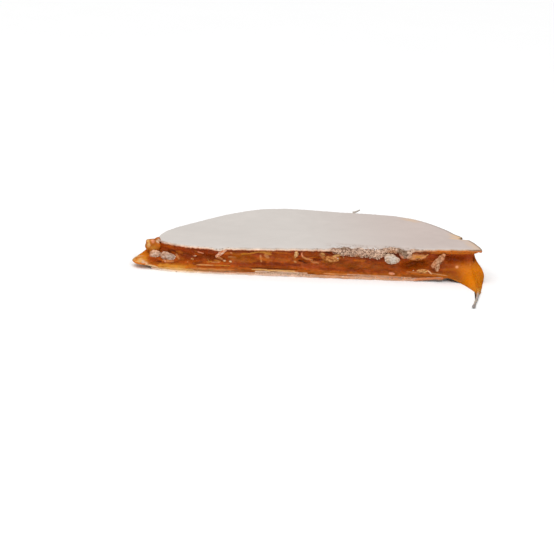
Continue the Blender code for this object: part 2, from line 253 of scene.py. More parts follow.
# %% Sizes of the wafers and the caramel
WAFER_RADIUS = 45.0
WAFER_THICKNESS = 0.8
CUT_Y = 3.0
TOP_HEIGHT = 8.25
TOP_SLOPE = 0.033
OUTLINE_HUB = np.array([0.0, 20.0])
TOP_ENDS = math.radians(3.8), math.radians(165.2)
TOP_CORNER_FADE = 6.8
BASE_ENDS = math.radians(12.4), math.radians(172.8)
BASE_CORNER_FADE = 4.0
# Where the upper wafer's edge is crushed: place along the cut, half width, how far it hangs down.
CRUSHED_EDGES = (
    (-27.0, 2.6, 0.7), (7.5, 4.5, 0.9), (12.5, 5.5, 1.3), (15.2, 3.0, 0.6), (17.0, 2.4, 1.3),
    (24.2, 2.4, 1.8),
)
CRUSH_REACH = 4.2
NOTCH_PLACE, NOTCH_WIDTH, NOTCH_DEPTH = math.radians(19.0), math.radians(2.6), 1.6
STUCK = 0.06  # how deep caramel and wafer go into each other
TABLE_GAP = 0.03  # how far above the table the sagging caramel ends
BREAK_X = 34.0
BREAK_SLOPE = 0.65
CARAMEL_RADIUS = 44.2
CARAMEL_BASE_ENDS = math.radians(5.6), math.radians(173.4)
CARAMEL_TOP_ENDS = math.radians(4.8), math.radians(165.6)
RIM_OOZES = ((17.0, 9.0, 1.3), (50.0, 7.0, 1.2), (118.0, 9.0, 0.9), (168.0, 9.0, 2.0))
SKIRT_ROOT_X = 36.5
# The edge of the sagging caramel, round its thread: x, y and share of the cut's last stretch.
SKIRT_EDGE = (
    (36.5, 3.2, 0.0), (38.5, 3.1, 0.27), (39.7, 2.8, 0.43), (40.5, 1.2, 0.54), (41.1, -0.6, 0.61),
    (41.8, -3.0, 0.7), (42.35, -5.0, 0.765), (42.85, -6.9, 0.81), (43.1, -8.9, 0.835),
    (43.15, -12.2, 0.85), (43.27, -14.8, 0.865), (43.45, -12.1, 0.875), (43.5, -9.7, 0.885),
    (43.65, -7.2, 0.9), (44.15, -3.9, 0.92), (45.1, -0.6, 0.95), (45.7, 2.0, 0.98),
)
SKIRT_STEEPNESS = 5.0


# %% Outlines seen from above
def top_front(x):
    """The upper wafer's edge at the cut: straight, with two sizes of unevenness."""
    jagged = 0.22 * ripple(x, 0.0, 4.5, 3) + 0.14 * ripple(x, 0.0, 1.9, 4)
    return CUT_Y + jagged * smooth_step(-44.0, -34.0, x) * (1.0 - smooth_step(41.0, 44.0, x))


def base_front(x):
    """The lower wafer's edge at the cut, which runs back at a slope where it is broken off."""
    return CUT_Y + BREAK_SLOPE * np.maximum(0.0, x - BREAK_X) + 0.2 * ripple(x, 0.0, 3.0, 8)


def caramel_base_front(x):
    """The caramel's foot at the cut: set back behind the wafer's edge, and more so at the far right."""
    return CUT_Y + 0.25 - 0.2 * (1.0 - smooth_step(-26.0, -20.0, x)) + 0.8 * smooth_step(38.0, 45.0, x)


def caramel_top_front(x):
    """The upper edge is tucked under the upper wafer, but flush with it at the right."""
    return CUT_Y + 0.55 - 0.5 * smooth_step(28.0, 33.0, x)


def top_rim(angle):
    """The radius with small waves, less one notch broken out near the right end."""
    uneven = 0.12 * ripple(WAFER_RADIUS * angle, 0.0, 9.0, 5)
    return WAFER_RADIUS + uneven - NOTCH_DEPTH * bump(angle, NOTCH_PLACE, NOTCH_WIDTH)


def base_rim(angle):
    """The radius with small waves."""
    return WAFER_RADIUS + 0.12 * ripple(WAFER_RADIUS * angle, 0.0, 8.0, 6)


def caramel_top_rim(angle):
    """The radius with soft waves, plus a raised cosine wherever the caramel oozes out."""
    oozing = sum(reach * bump(np.degrees(angle), place, width) for place, width, reach in RIM_OOZES)
    return CARAMEL_RADIUS - 0.2 + oozing + 0.35 * ripple(CARAMEL_RADIUS * angle, 0.0, 13.0, 7)


def caramel_base_rim(angle):
    """As the upper rim, and swollen out at both ends."""
    left = 0.4 * bump(angle, math.radians(170), math.radians(22))
    return caramel_top_rim(angle) + left + 2.7 * bump(angle, 0.0, math.radians(26))


def outline(rim, front, ends, corner_fade, steps, last_stretch=None):
    """Round the rim from right to left, then along the cut, where a step fades by exp(-x / fade)."""
    arc_steps, cut_steps, skirt_steps = steps
    if last_stretch is None:
        last_stretch = np.linspace(0.0, 1.0, skirt_steps + 2)[1:-1]
    angle = np.linspace(*ends, arc_steps)
    arc = (rim(angle) * np.array([np.cos(angle), np.sin(angle)])).T
    start_x, start_y = arc[-1]
    x = np.linspace(start_x, SKIRT_ROOT_X, cut_steps + 1)[1:]
    x = np.concatenate([x, SKIRT_ROOT_X + (arc[0, 0] - SKIRT_ROOT_X) * last_stretch])
    y = front(x) + (start_y - front(start_x)) * np.exp((start_x - x) / corner_fade)
    return np.concatenate([arc, np.stack([x, y], axis=1)])


def skirt_points(steps):
    """Even steps along the skirt's edge, half of them to its tip and half back, and their shares."""
    edge = np.array(SKIRT_EDGE)
    run = np.concatenate([[0.0], np.cumsum(np.hypot(*np.diff(edge[:, :2], axis=0).T))])
    tip, half = run[np.argmin(edge[:, 1])], steps // 2
    stops = np.concatenate([np.linspace(0.0, tip, half + 1)[1:], np.linspace(tip, run[-1], half + 1)[1:]])
    x, y, share = [np.interp(stops, run, column) for column in edge.T]
    return np.stack([x, y], axis=1), share


# %% Heights
def beyond_break(x, y):
    """Distance past the lower wafer's broken edge, negative on the wafer's side."""
    return ((x - BREAK_X) * BREAK_SLOPE - (y - CUT_Y)) / math.hypot(1.0, BREAK_SLOPE)


def top_face(x, y):
    """The upper wafer's top: a slope, a cosine warp that grows with the cube of the reach, the crush."""
    reach = np.hypot(x, y) / WAFER_RADIUS
    warp = 0.45 * np.cos(6.2 * (np.arctan2(y, x) - math.radians(106))) * reach**3
    hang = sum(depth * bump(x, place, width) for place, width, depth in CRUSHED_EDGES)
    near_cut = np.clip(1.0 - (y - CUT_Y) / CRUSH_REACH, 0.0, 1.0)
    return TOP_HEIGHT + TOP_SLOPE * x + warp * smooth_step(8.0, 22.0, y) - hang * near_cut**2


def curl(x, y):
    """How far the lower wafer has lifted near its broken edge."""
    return 0.6 * smooth_step(-5.5, 0.0, beyond_break(x, y))


def caramel_top(x, y):
    """The caramel's upper face, a hair inside the wafer that it sticks to."""
    return top_face(x, y) - WAFER_THICKNESS + STUCK


def caramel_base(x, y):
    """The caramel's underside: stuck to the lower wafer, and sinking to the table beyond the break."""
    sunk = smooth_step(0.55, 3.9, beyond_break(x, y))
    return mix(WAFER_THICKNESS - STUCK + curl(x, y), TABLE_GAP, sunk)


for x in (-40.0, 0.0, 30.0):
    print(f"caramel at x = {x:.0f} mm: {caramel_top(x, CUT_Y) - caramel_base(x, CUT_Y):.1f} mm thick")

# %% [markdown]
# ## Where the round's centre is
# The frame's origin is under the middle of the whole piece, not at the centre of the round. The upper
# wafer's solid tells where that centre went: its box is set against the same outline with the solid's
# own few steps.

# %% Find the centre of the round
SOLID_STEPS = (46, 66, 24)
solid_plan = outline(top_rim, top_front, TOP_ENDS, TOP_CORNER_FADE, SOLID_STEPS)
box_low, box_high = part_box("top_wafer")
ROUND_CENTRE = np.array([
    box_low.x / MM - solid_plan[:, 0].min(), box_high.y / MM - solid_plan[:, 1].max(), 0.0
])
print("centre of the round in the frame, mm:", np.round(ROUND_CENTRE, 3))

# %% [markdown]
# ## Camera, floor and light
# The camera comes early, so that every later piece can be judged from the right place. A long lens
# from 40 cm keeps the slice as flat as it looks on a table before you. The floor is plain and pale,
# and the light is a broad soft one from above with a smaller one in front that draws a few glints on
# the caramel.

# %% Camera
PICTURE_WIDTH = 554
FOCAL_PIXELS = 1485.856
CAMERA_DISTANCE = 400.0
CAMERA_AIM = np.array([-10.857, 0.0, 0.7282])
CAMERA_TURN, CAMERA_RISE, CAMERA_ROLL = np.radians([-4.63, 16.92, 3.51])
SENSOR_WIDTH = 36.0


def camera_axes(turn, rise, roll):
    """Right, up and back of a camera: round by turn, above by rise, and rolled about its own view."""
    back = np.array([math.sin(turn) * math.cos(rise), -math.cos(turn) * math.cos(rise), math.sin(rise)])
    right = unit(np.cross(-back, [0.0, 0.0, 1.0]))
    up = np.cross(right, -back)
    cos, sin = math.cos(roll), math.sin(roll)
    return right * cos + up * sin, up * cos - right * sin, back


def stand(thing, axes, place):
    """Puts a camera or a lamp at a place in millimetres, with its axes as the columns of its matrix."""
    matrix = np.eye(4)
    matrix[:3] = np.column_stack([*axes, np.array(place) * MM])
    thing.matrix_world = matrix.T.tolist()


def place_camera():
    """A camera at its distance from the point it looks at, with the photograph's angle of view."""
    lens = bpy.data.cameras.new("camera")
    lens.sensor_width = SENSOR_WIDTH
    lens.lens = FOCAL_PIXELS / PICTURE_WIDTH * SENSOR_WIDTH
    lens.clip_start = 0.01
    camera = put_in_scene("camera", lens)
    axes = camera_axes(CAMERA_TURN, CAMERA_RISE, CAMERA_ROLL)
    stand(camera, axes, CAMERA_AIM + axes[2] * CAMERA_DISTANCE + ROUND_CENTRE)
    bpy.context.scene.camera = camera
    print(f"camera: a {lens.lens:.0f} mm lens, {CAMERA_DISTANCE:.0f} mm from the slice")


place_camera()


# %% [markdown]
# ## Shader maths in Python
# A material is a net of nodes. Drawn by hand it is hard to read, so one small class wraps a node's
# output and lets Python's own signs add the Math nodes: 1 - mask is then one Subtract node.


# %% One class for shader maths
class Wire:
    """The output of a node in a material, with arithmetic that adds Math nodes."""

    def __init__(self, tree, output):
        self.tree, self.output = tree, output

    def node(self, kind, settings=None, inputs=None, result=0):
        """Adds a node: its settings first, then values or wires into its sockets. Gives one output."""
        made = self.tree.nodes.new(kind)
        for name, value in (settings or {}).items():
            setattr(made, name, value)
        for name, value in (inputs or {}).items():
            if isinstance(value, Wire):
                self.tree.links.new(value.output, made.inputs[name])
            else:
                made.inputs[name].default_value = value
        return Wire(self.tree, made.outputs[result])

    def math(self, operation, *values):
        """One Math node."""
        return self.node("ShaderNodeMath", {"operation": operation}, dict(enumerate(values)))

    def __add__(self, other):
        return self.math("ADD", self, other)

    def __sub__(self, other):
        return self.math("SUBTRACT", self, other)

    def __rsub__(self, other):
        return self.math("SUBTRACT", other, self)

    def __mul__(self, other):
        return self.math("MULTIPLY", self, other)

    __radd__ = __add__
    __rmul__ = __mul__

    def noise(self, size, detail=3.0, rough=0.55):
        """Cloudy noise of that size in millimetres; this wire is the place."""
        inputs = {"Vector": self, "Scale": 1.0 / (size * MM), "Detail": detail, "Roughness": rough}
        return self.node("ShaderNodeTexNoise", None, inputs)

    def scaled(self, x, y, z):
        """The place stretched: a pattern read through it is finer along the larger numbers."""
        return self.node("ShaderNodeMapping", None, {"Vector": self, "Scale": (x, y, z)})

    def joined(self, how, first, second):
        """Two colours, the second over the first as much as this wire says, in the way that how names."""
        settings = {"data_type": "RGBA", "blend_type": how}
        return self.node("ShaderNodeMix", settings, {0: self, 6: first, 7: second}, 2)

    def shaded(self, shade):
        """This colour times one number, which makes it lighter or darker."""
        grey = self.node("ShaderNodeCombineColor", None, {0: shade, 1: shade, 2: shade})
        inputs = {0: 1.0, 6: self, 7: grey}
        return self.node("ShaderNodeMix", {"data_type": "RGBA", "blend_type": "MULTIPLY"}, inputs, 2)

    def raised(self, distance):
        """A bump normal whose height is this wire times a distance in millimetres."""
        return self.node("ShaderNodeBump", None, {"Height": self, "Distance": distance * MM})


def new_finish(name, **constants):
    """A material: its shader node, the place on the piece, and the piece's own tint."""
    finish = bpy.data.materials.new(name)
    finish.use_nodes = True
    shader = finish.node_tree.nodes["Principled BSDF"]
    for socket, value in constants.items():
        shader.inputs[socket.replace("_", " ")].default_value = value
    start = Wire(finish.node_tree, None)
    place = start.node("ShaderNodeTexCoord", result="Object")
    tint = start.node("ShaderNodeAttribute", {"attribute_name": "tint"})
    return finish, shader, place, tint


def feed(shader, **wires):
    """Links wires to the sockets of the shader."""
    for socket, wire in wires.items():
        wire.tree.links.new(wire.output, shader.inputs[socket.replace("_", " ")])


# %% Floor and light
FLOOR_REACH = 3.0  # metres to each side
FLOOR_WHITES = (0.93, 0.93, 0.93, 1.0), (0.95, 0.95, 0.95, 1.0)
SKY_STRENGTH = 0.58
BROAD_PLACE, BROAD_POWER, BROAD_ANGLE = (-200.0, -230.0, 620.0), 1.75, math.radians(60.0)
FRONT_PLACE, FRONT_POWER, FRONT_SIZE = (140.0, -420.0, 330.0), 0.45, 0.07


def build_floor():
    """A flat sheet far wider than the view, which a material makes a plain near-white."""
    corners = [(x * FLOOR_REACH, y * FLOOR_REACH, 0.0) for x, y in ((-1, -1), (1, -1), (1, 1), (-1, 1))]
    mesh = bpy.data.meshes.new("floor")
    mesh.from_pydata(corners, [], [(0, 1, 2, 3)])
    finish, shader, place, _ = new_finish("floor_white", Roughness=0.9, Specular_IOR_Level=0.1)
    feed(shader, Base_Color=place.noise(60.0).joined("MIX", *FLOOR_WHITES))
    mesh.materials.append(finish)
    floor = put_in_scene("floor", mesh)
    floor.visible_glossy = False


def aimed_lamp(name, kind, place, power, **settings):
    """A lamp at a place in millimetres that faces the slice."""
    data = bpy.data.lights.new(name, kind)
    data.energy = power
    for setting, value in settings.items():
        setattr(data, setting, value)
    lamp = put_in_scene(name, data)
    turn, rise = math.atan2(place[0], -place[1]), math.asin(place[2] / np.linalg.norm(place))
    stand(lamp, camera_axes(turn, rise, 0.0), place)
    return lamp


def build_light():
    """An even white sky, a broad soft sun, and a small lamp in front for the glints."""
    world = bpy.data.worlds.new("studio")
    world.use_nodes = True
    sky = world.node_tree.nodes["Background"]
    sky.inputs["Color"].default_value = (1.0, 1.0, 1.0, 1.0)
    sky.inputs["Strength"].default_value = SKY_STRENGTH
    world.cycles_visibility.glossy = False
    bpy.context.scene.world = world
    broad = aimed_lamp("broad_light", "SUN", BROAD_PLACE, BROAD_POWER, angle=BROAD_ANGLE)
    broad.visible_glossy = False
    aimed_lamp("lamp_front", "AREA", FRONT_PLACE, FRONT_POWER, size=FRONT_SIZE)
    bpy.context.scene.view_settings.view_transform = "Standard"


build_floor()
build_light()
print("lamps:", ", ".join(lamp.name for lamp in bpy.data.lights))


# %% [markdown]
# ## The finish of the wafer
# A wafer is baked starch: dry, matte and almost white, with a faint cloudiness and a fine powdery
# tooth. Where the knife tore it, its inside shows as beige crumb with dark pores. The tint of each
# point says which it is, and the nodes add the powder and the pores that are too fine for the mesh.


# %% Wafer finish
def wafer_finish():
    """Matte tint with faint clouds, and a powdery tooth as a bump."""
    finish, shader, place, tint = new_finish("dry_wafer", Roughness=0.88, Specular_IOR_Level=0.18)
    powder = place.noise(0.35, 2.0)
    feed(shader, Base_Color=tint.shaded(0.965 + 0.05 * place.noise(5.0, 4.0) + 0.03 * powder))
    feed(shader, Normal=(powder + 0.4 * place.noise(0.12, 2.0)).raised(0.03))
    return finish


FINISHES["wafer"] = wafer_finish()
print("nodes in the wafer's finish:", len(FINISHES["wafer"].node_tree.nodes))


# %% [markdown]
# ## The finish of the caramel
# Boiled milk and sugar: glossy, amber to brown, and a little see-through, so thin places glow.
# Subsurface scattering gives the glow, a low roughness the gloss, and stretched noise the fine
# streaks that form when it is pulled.


# %% Caramel finish
def caramel_finish():
    """Glossy, slightly see-through tint with streaks that are longer along the cut."""
    finish, shader, place, tint = new_finish(
        "glossy_caramel", Subsurface_Weight=0.22, Subsurface_Scale=0.0009, Specular_IOR_Level=0.28,
        Subsurface_Radius=(1.0, 0.35, 0.12)
    )
    pulled = place.scaled(0.35, 1.0, 1.6)
    streaks = pulled.noise(0.55, 4.0, 0.6)
    feed(shader, Base_Color=tint.shaded(0.78 + 0.44 * streaks))
    feed(shader, Roughness=0.14 + 0.3 * place.noise(1.3, 3.0))
    feed(shader, Normal=(streaks + 0.5 * pulled.noise(0.2, 2.0)).raised(0.16))
    return finish


FINISHES["caramel"] = caramel_finish()
print("nodes in the caramel's finish:", len(FINISHES["caramel"].node_tree.nodes))

# %% [markdown]
# ## The two wafers
# Each wafer is a sheet 0.8 mm thick. Its rings lie close together near the cut, where it is torn, and
# far apart in its smooth middle. Packed-grain noise roughens the torn edge: it moves the points, and
# the tint gets painted shade in the creases between the grains.

# %% Colours of the wafer
WAFER_TONES = named_tones(
    left=(214, 207, 201), right=(205, 190, 183), by_the_cut=(219, 212, 208), dull=(194, 176, 166),
    warm=(232, 186, 156), crumb_grey=(180, 150, 132), dark=(116, 84, 64), pale=(244, 212, 188),
    stained=(190, 122, 70), hollow=(120, 96, 72), pore=(148, 132, 120), soaked=(228, 192, 154),
    browned=(128, 98, 72), rim_foot=(206, 170, 140), rim_head=(214, 198, 184),
    milk=(254, 236, 216), ivory=(242, 218, 197), cream=(238, 205, 185), wheat=(240, 204, 160),
    bisque=(226, 188, 165), biscuit=(214, 174, 146), toast=(206, 150, 112), syrup=(198, 124, 80),
    honey=(212, 158, 98), amber=(200, 108, 30), bark=(140, 84, 48), pearl=(212, 200, 190),
    dove=(200, 185, 173), straw=(194, 168, 143), grey=(170, 144, 126), shade=(132, 112, 92),
)
# A torn edge along the cut: the place, then the tones of its lower, middle and upper part.
UPPER_EDGE = (
    (-43.0, "cream", "cream", "pearl"), (-40.5, "toast", "biscuit", "dove"),
    (-38.0, "syrup", "bisque", "dove"), (-32.0, "syrup", "cream", "pearl"),
    (-26.0, "syrup", "ivory", "pearl"), (-18.0, "syrup", "ivory", "dove"),
    (-8.0, "syrup", "ivory", "dove"), (0.0, "toast", "cream", "dove"),
    (6.0, "biscuit", "bisque", "dove"), (26.0, "toast", "biscuit", "grey"),
    (29.0, "bark", "toast", "dove"), (33.0, "amber", "amber", "straw"),
    (40.0, "amber", "amber", "straw"), (44.0, "amber", "syrup", "shade"),
)
LOWER_EDGE = (
    (-45.0, "cream", "bisque", "honey"), (-41.0, "milk", "ivory", "honey"),
    (-35.0, "milk", "wheat", "honey"), (-28.0, "milk", "bisque", "syrup"),
    (-20.0, "ivory", "biscuit", "syrup"), (-13.0, "cream", "bisque", "biscuit"),
    (-6.0, "cream", "bisque", "biscuit"), (1.0, "biscuit", "toast", "toast"),
    (6.0, "toast", "toast", "toast"), (14.0, "biscuit", "biscuit", "toast"),
    (22.0, "biscuit", "toast", "syrup"), (24.5, "cream", "biscuit", "syrup"),
    (28.0, "syrup", "syrup", "syrup"), (34.0, "shade", "syrup", "syrup"),
)
print("tones of the wafer:", ", ".join(WAFER_TONES))


# %% The shape of a wafer
FINE_WAFER_STEPS = (420, 820, 90)
# Where the rings lie: shares of the outline over and under the wafer, and of the way up its edge.
FINE_OVER = np.concatenate([np.linspace(1.0, 0.74, 42), [0.71, 0.66, 0.59, 0.49, 0.37, 0.24, 0.11]])
FINE_UNDER = np.array([0.15, 0.4, 0.62, 0.78, 0.86, 0.91, 0.94, 0.96, 0.975, 0.985, 0.993, 0.999])
FINE_EDGE = np.array([0.12, 0.32, 0.5, 0.68, 0.88])
EDGE_SWELL = 0.1
TORN_REACH, RIM_REACH = 0.26, 0.14  # how far the tearing goes in from the cut and from the rim
COARSE_DEPTH, FINE_DEPTH = 0.26, 0.13  # how deep the two sizes of grain go in torn crumb
# The size and seed of each noise on a wafer: its torn shape, its clouds and pores, and its patches.
COARSE, FINE, CLOUDS, PORES, WIDE_CLOUDS = (0.62, 41), (0.27, 42), (1.6, 43), (0.8, 44), (4.0, 45)
DARK_PATCHES, PALE_PATCHES, STAINS, HOLLOWS, PITS = (0.85, 46), (0.8, 47), (2.2, 48), (1.7, 49), (3.5, 50)


def outward(points):
    """Plan normals of closed anticlockwise outlines: the way along, turned a quarter to the right."""
    along = np.roll(points, -1, axis=-2) - np.roll(points, 1, axis=-2)
    return unit(np.stack([along[..., 1], -along[..., 0]], axis=-1))


def towards_hub(points, share):
    """The outline shrunk towards the hub: share 1 is the outline itself."""
    return OUTLINE_HUB + (points - OUTLINE_HUB) * share


def ring_at(points, height):
    """An outline seen from above with its heights added."""
    return np.column_stack([points, height(points[:, 0], points[:, 1])])


def wafer_rings(plan, lower, upper):
    """Rings out along the underside, up the edge, which swells by a parabola, and in along the top."""
    under = [ring_at(towards_hub(plan, share), lower) for share in FINE_UNDER]
    edge = []
    for t in FINE_EDGE:
        at = plan + outward(plan) * EDGE_SWELL * (1.0 - (2.0 * t - 1.0) ** 2)
        edge.append(np.column_stack([at, mix(lower(*at.T), upper(*at.T), t)]))
    over = [ring_at(towards_hub(plan, share), upper) for share in FINE_OVER]
    shares = np.concatenate([FINE_UNDER, np.ones(len(edge)), FINE_OVER])[:, None]
    inward = (1.0 - shares) * np.linalg.norm(plan - OUTLINE_HUB, axis=1)
    return np.array(under + edge + over), inward


# %% The torn edge of a wafer
def crushed_share(x):
    """How badly the upper wafer's edge is crushed along the cut, from 0 to 1."""
    return smooth_step(1.0, 7.0, x) * (1.0 - smooth_step(25.3, 27.5, x))


def edge_colour(x, t, table):
    """Tones looked up along the cut and then up the edge, in straight lines between the table's rows."""
    places = [row[0] for row in table]
    levels = np.array([[WAFER_TONES[name] for name in row[1:]] for row in table])
    low, middle, high = [
        np.stack([np.interp(x, places, levels[:, part, c]) for c in range(3)], -1) for part in range(3)
    ]
    return layered(low, (middle, smooth_step(0.2, 0.5, t)), (high, smooth_step(0.5, 0.85, t)))


def crumb_tint(rings, inward, t, depth, domes):
    """The torn inside: warm below, grey above, with stained patches, and painted shade in creases and
    hollows.
    """
    tones = WAFER_TONES
    grey = np.maximum(smooth_step(0.0, 1.0, inward), 0.7 * smooth_step(0.45, 0.9, t))
    stained = smooth_step(0.0, 0.35, grain(rings, *STAINS)) * smooth_step(1.3, 0.0, inward)
    # Patches that stand for hollows in the crumb: painted shade.
    hollow = smooth_step(0.1, 0.4, grain(rings, *HOLLOWS)) * bump(inward / depth, 0.5, 0.45)
    # The first dark layer is painted shade in the creases, where the domes dip below zero.
    return layered(
        tones["warm"], (tones["crumb_grey"], grey), (tones["dark"], smooth_step(0.0, -0.24, domes)),
        (tones["dark"], 0.75 * smooth_step(0.12, 0.5, grain(rings, *DARK_PATCHES))),
        (tones["pale"], 0.7 * smooth_step(0.15, 0.5, grain(rings, *PALE_PATCHES))),
        (tones["stained"], 0.65 * stained), (tones["hollow"], 0.6 * hollow),
    )


def skin_tint(x, inward, at_cut, crushed, cloud, clouds, pores):
    """The dry skin: warmer to the right, paler by the cut, dull and pored behind the crushed edge."""
    tones = WAFER_TONES
    skin = layered(
        tones["left"], (tones["right"], smooth_step(-8.0, 34.0, x)),
        (tones["by_the_cut"], 0.6 * at_cut * np.exp(-inward / 2.4)),
    )
    skin = skin * (1.0 + clouds)[..., None]
    near = crushed * (1.0 - smooth_step(1.0, 9.0, inward))
    return layered(
        skin, (tones["dull"], 0.8 * near * smooth_step(-0.5, 0.3, cloud)),
        (tones["pore"], 0.8 * pores * near * (1.0 - smooth_step(4.5, 6.5, inward))),
    )


def soaked_share(x, angle, inward, at_cut, cloud):
    """Where fat from the caramel has soaked in: three places on the rim, by angle, and the right tip."""
    patches = np.maximum(0.5 * bump(angle, 47.5, 6.5), 0.55 * bump(angle, 9.0, 9.5))
    patches = np.maximum(patches, bump(angle, 22.0, 6.5) ** 0.5)
    on_rim = patches * (1.0 - smooth_step(1.2, 3.6, inward + 0.8 * cloud)) * ~at_cut
    at_tip = 0.6 * smooth_step(38.5, 43.0, x) * (1.0 - smooth_step(0.4, 1.8, inward + 0.5 * cloud))
    return np.maximum(on_rim, at_tip)


def edge_tint(x, t, angle, at_cut, table, cloud):
    """The edge's own tones along the cut, and a plain rim darker to the right: caramel soak and painted
    shade.
    """
    tones = WAFER_TONES
    torn = edge_colour(x, t, table) * (1.08 + 0.16 * cloud)[..., None]
    # The rim darkens towards the right: partly caramel soaked in, partly painted shade.
    rim = layered(
        tones["rim_foot"], (tones["rim_head"], smooth_step(0.1, 0.6, t)),
        (tones["browned"], 1.0 - smooth_step(20.0, 56.0, angle)),
    )
    return np.where(at_cut[..., None], torn, rim)


# %% A whole wafer
def build_wafer(name, plan, lower, upper, crush, table, node):
    """A sheet whose torn edge and crushed stretch are pushed out and coloured by packed-grain noise."""
    tones = WAFER_TONES
    rings, inward = wafer_rings(plan, lower, upper)
    x, angle = rings[..., 0], np.degrees(np.arctan2(rings[..., 1], rings[..., 0]))
    row = np.arange(rings.shape[0])[:, None]
    at_cut = (np.arange(rings.shape[1]) >= FINE_WAFER_STEPS[0])[None, :]
    crushed = crush * crushed_share(x) * at_cut
    t = np.interp(row, np.arange(len(FINE_EDGE)) + len(FINE_UNDER), FINE_EDGE) + 0.0 * x
    coarse, fine, cloud = crumbly(rings, *COARSE), crumbly(rings, *FINE), grain(rings, *CLOUDS)
    depth = 0.9 + 2.3 * crushed + 0.5 * cloud
    loose = crushed * (row >= len(FINE_UNDER)) * (1.0 - smooth_step(0.45, 1.05, inward / depth))
    reach = np.where(at_cut, TORN_REACH, RIM_REACH)
    torn = np.exp(-((inward / reach) ** 2)) * np.where(at_cut, 1.0, 0.75)
    rough = np.maximum(torn, smooth_step(0.25, 0.6, loose + 0.25 * coarse))
    relief = rough * (COARSE_DEPTH * coarse + FINE_DEPTH * fine)
    rings = pushed_out(rings, relief * np.where(at_cut, 1.0, 0.5))
    rings[..., 2] = np.maximum(rings[..., 2], 0.0)
    pores = smooth_step(0.06, 0.2, crumbly(rings, *PORES) + 0.12 * cloud)
    clouds = 0.02 * cloud + 0.015 * grain(rings, *WIDE_CLOUDS)
    skin = skin_tint(x, inward, at_cut, crushed, cloud, clouds, pores)
    crumb = crumb_tint(rings, inward, t, depth, coarse + 0.6 * fine)
    pitted = at_cut * pores * smooth_step(0.35, 0.8, t) * smooth_step(-0.2, 0.5, grain(rings, *PITS))
    edge = edge_tint(x, t, angle, at_cut, table, cloud)
    edge = layered(edge, (tones["pore"], 0.75 * pitted), (crumb, 0.8 * crushed))
    # A thin dark line along the right part of the rim: partly caramel soaked in, partly painted shade.
    rim_line = np.exp(-((inward / 0.5) ** 2)) * (1.0 - smooth_step(24.0, 60.0, angle)) * ~at_cut
    tint = layered(
        skin, (crumb, smooth_step(0.3, 0.6, loose + 0.3 * coarse)),
        (tones["soaked"], soaked_share(x, angle, inward, at_cut, cloud)),
        (tones["browned"], 0.85 * rim_line), (edge, torn),
    )
    new_skin(name, rings, tint, "wafer", node)


# %% Make both wafers
top_plan = outline(top_rim, top_front, TOP_ENDS, TOP_CORNER_FADE, FINE_WAFER_STEPS)
base_plan = outline(base_rim, base_front, BASE_ENDS, BASE_CORNER_FADE, FINE_WAFER_STEPS)
build_wafer("upper_wafer", top_plan, lambda x, y: top_face(x, y) - WAFER_THICKNESS, top_face,
            1.0, UPPER_EDGE, "top_wafer")
build_wafer("lower_wafer", base_plan, curl, lambda x, y: WAFER_THICKNESS + curl(x, y),
            0.0, LOWER_EDGE, "bottom_wafer")

# %% [markdown]
# ## The caramel
# A knife drags sticky caramel: the cut face has a lip along its foot, hollows, a smooth knob, a deep
# pocket and fine streaks along the cut. The large forms are formulas of the place along the face and
# the share of its height. The small ones are soft strokes from a table: each has its ends, width, how
# far it stands out, and a tone.


# %% Relief of the cut face and of the rim
# Smooth forms on the face: place, half width, share of its height, half height, how far it stands out.
FACE_FORMS = (
    (-13.0, 8.0, 0.45, 0.4, 0.6),  # swell
    (2.0, 5.5, 0.62, 0.36, -0.9),  # hollow
    (9.0, 3.6, 0.62, 0.34, 0.8),  # knob
    (27.0, 5.0, 0.48, 0.3, -2.6),  # deep pocket
)


def cut_relief(x, v):
    """How far the caramel stands out of the cut face: a sum of raised cosines in x times ones in v."""
    left = 1.0 - smooth_step(-24.0, -8.0, x)
    relief = left * (0.9 * bump(v, 0.1, 0.2) - 0.9 * bump(v, 0.58, 0.34))  # a lip and a groove above it
    for place, width, level, height, out in FACE_FORMS:
        relief = relief + out * bump(x, place, width) * bump(v, level, height)
    under_tip = smooth_step(32.0, 37.0, x) * (1.0 - smooth_step(39.5, 42.5, x)) * bump(v, 0.7, 0.24)
    rough = 1.0 - 0.8 * smooth_step(33.0, 38.0, x)
    streaks = 0.28 * ripple(x / 3.2, v * 6.0, 3.4, 11) + 0.2 * ripple(x, v * 6.0, 3.0, 12)
    relief = relief - 1.5 * under_tip + rough * streaks
    return relief * np.sin(math.pi * np.clip(v, 0.0, 1.0)) ** 0.6


def rim_relief(angle, v):
    """How far the caramel stands out of its plain rim: a soft roll, and a bulge at the left."""
    roll = 0.45 + 0.4 * ripple(CARAMEL_RADIUS * angle, v * 5.0, 9.0, 13)
    bulge = 1.1 * bump(angle, math.radians(171), math.radians(15)) * bump(v, 0.72, 0.5)
    return (roll + bulge) * np.sin(math.pi * np.clip(v, 0.0, 1.0)) ** 0.7


def pulled_left(points, v):
    """How far the caramel is moved left: drawn in below the wafer's right end, swollen out at its left.

    Each is a product of S-curves along X, away from the cut and up the height. The thread leans by
    u^2 / (u + 1.5), where u is how far in front of its start it is.
    """
    x, y = points[..., 0], points[..., 1]
    near_tip = smooth_step(37.0, 43.5, x) * (1.0 - smooth_step(5.0, 15.0, y))
    tuck = 1.3 * near_tip * smooth_step(0.2, 0.85, v) * (1.0 - smooth_step(0.93, 1.0, v))
    near_left = (1.0 - smooth_step(-45.0, -42.5, x)) * (1.0 - smooth_step(8.0, 15.0, y))
    swell = 4.8 * near_left * smooth_step(0.0, 0.14, v) * (1.0 - smooth_step(0.15, 0.8, v))
    thread = np.maximum(0.0, -4.5 - y)
    return tuck + swell + 0.3 * thread**2 / (thread + 1.5)


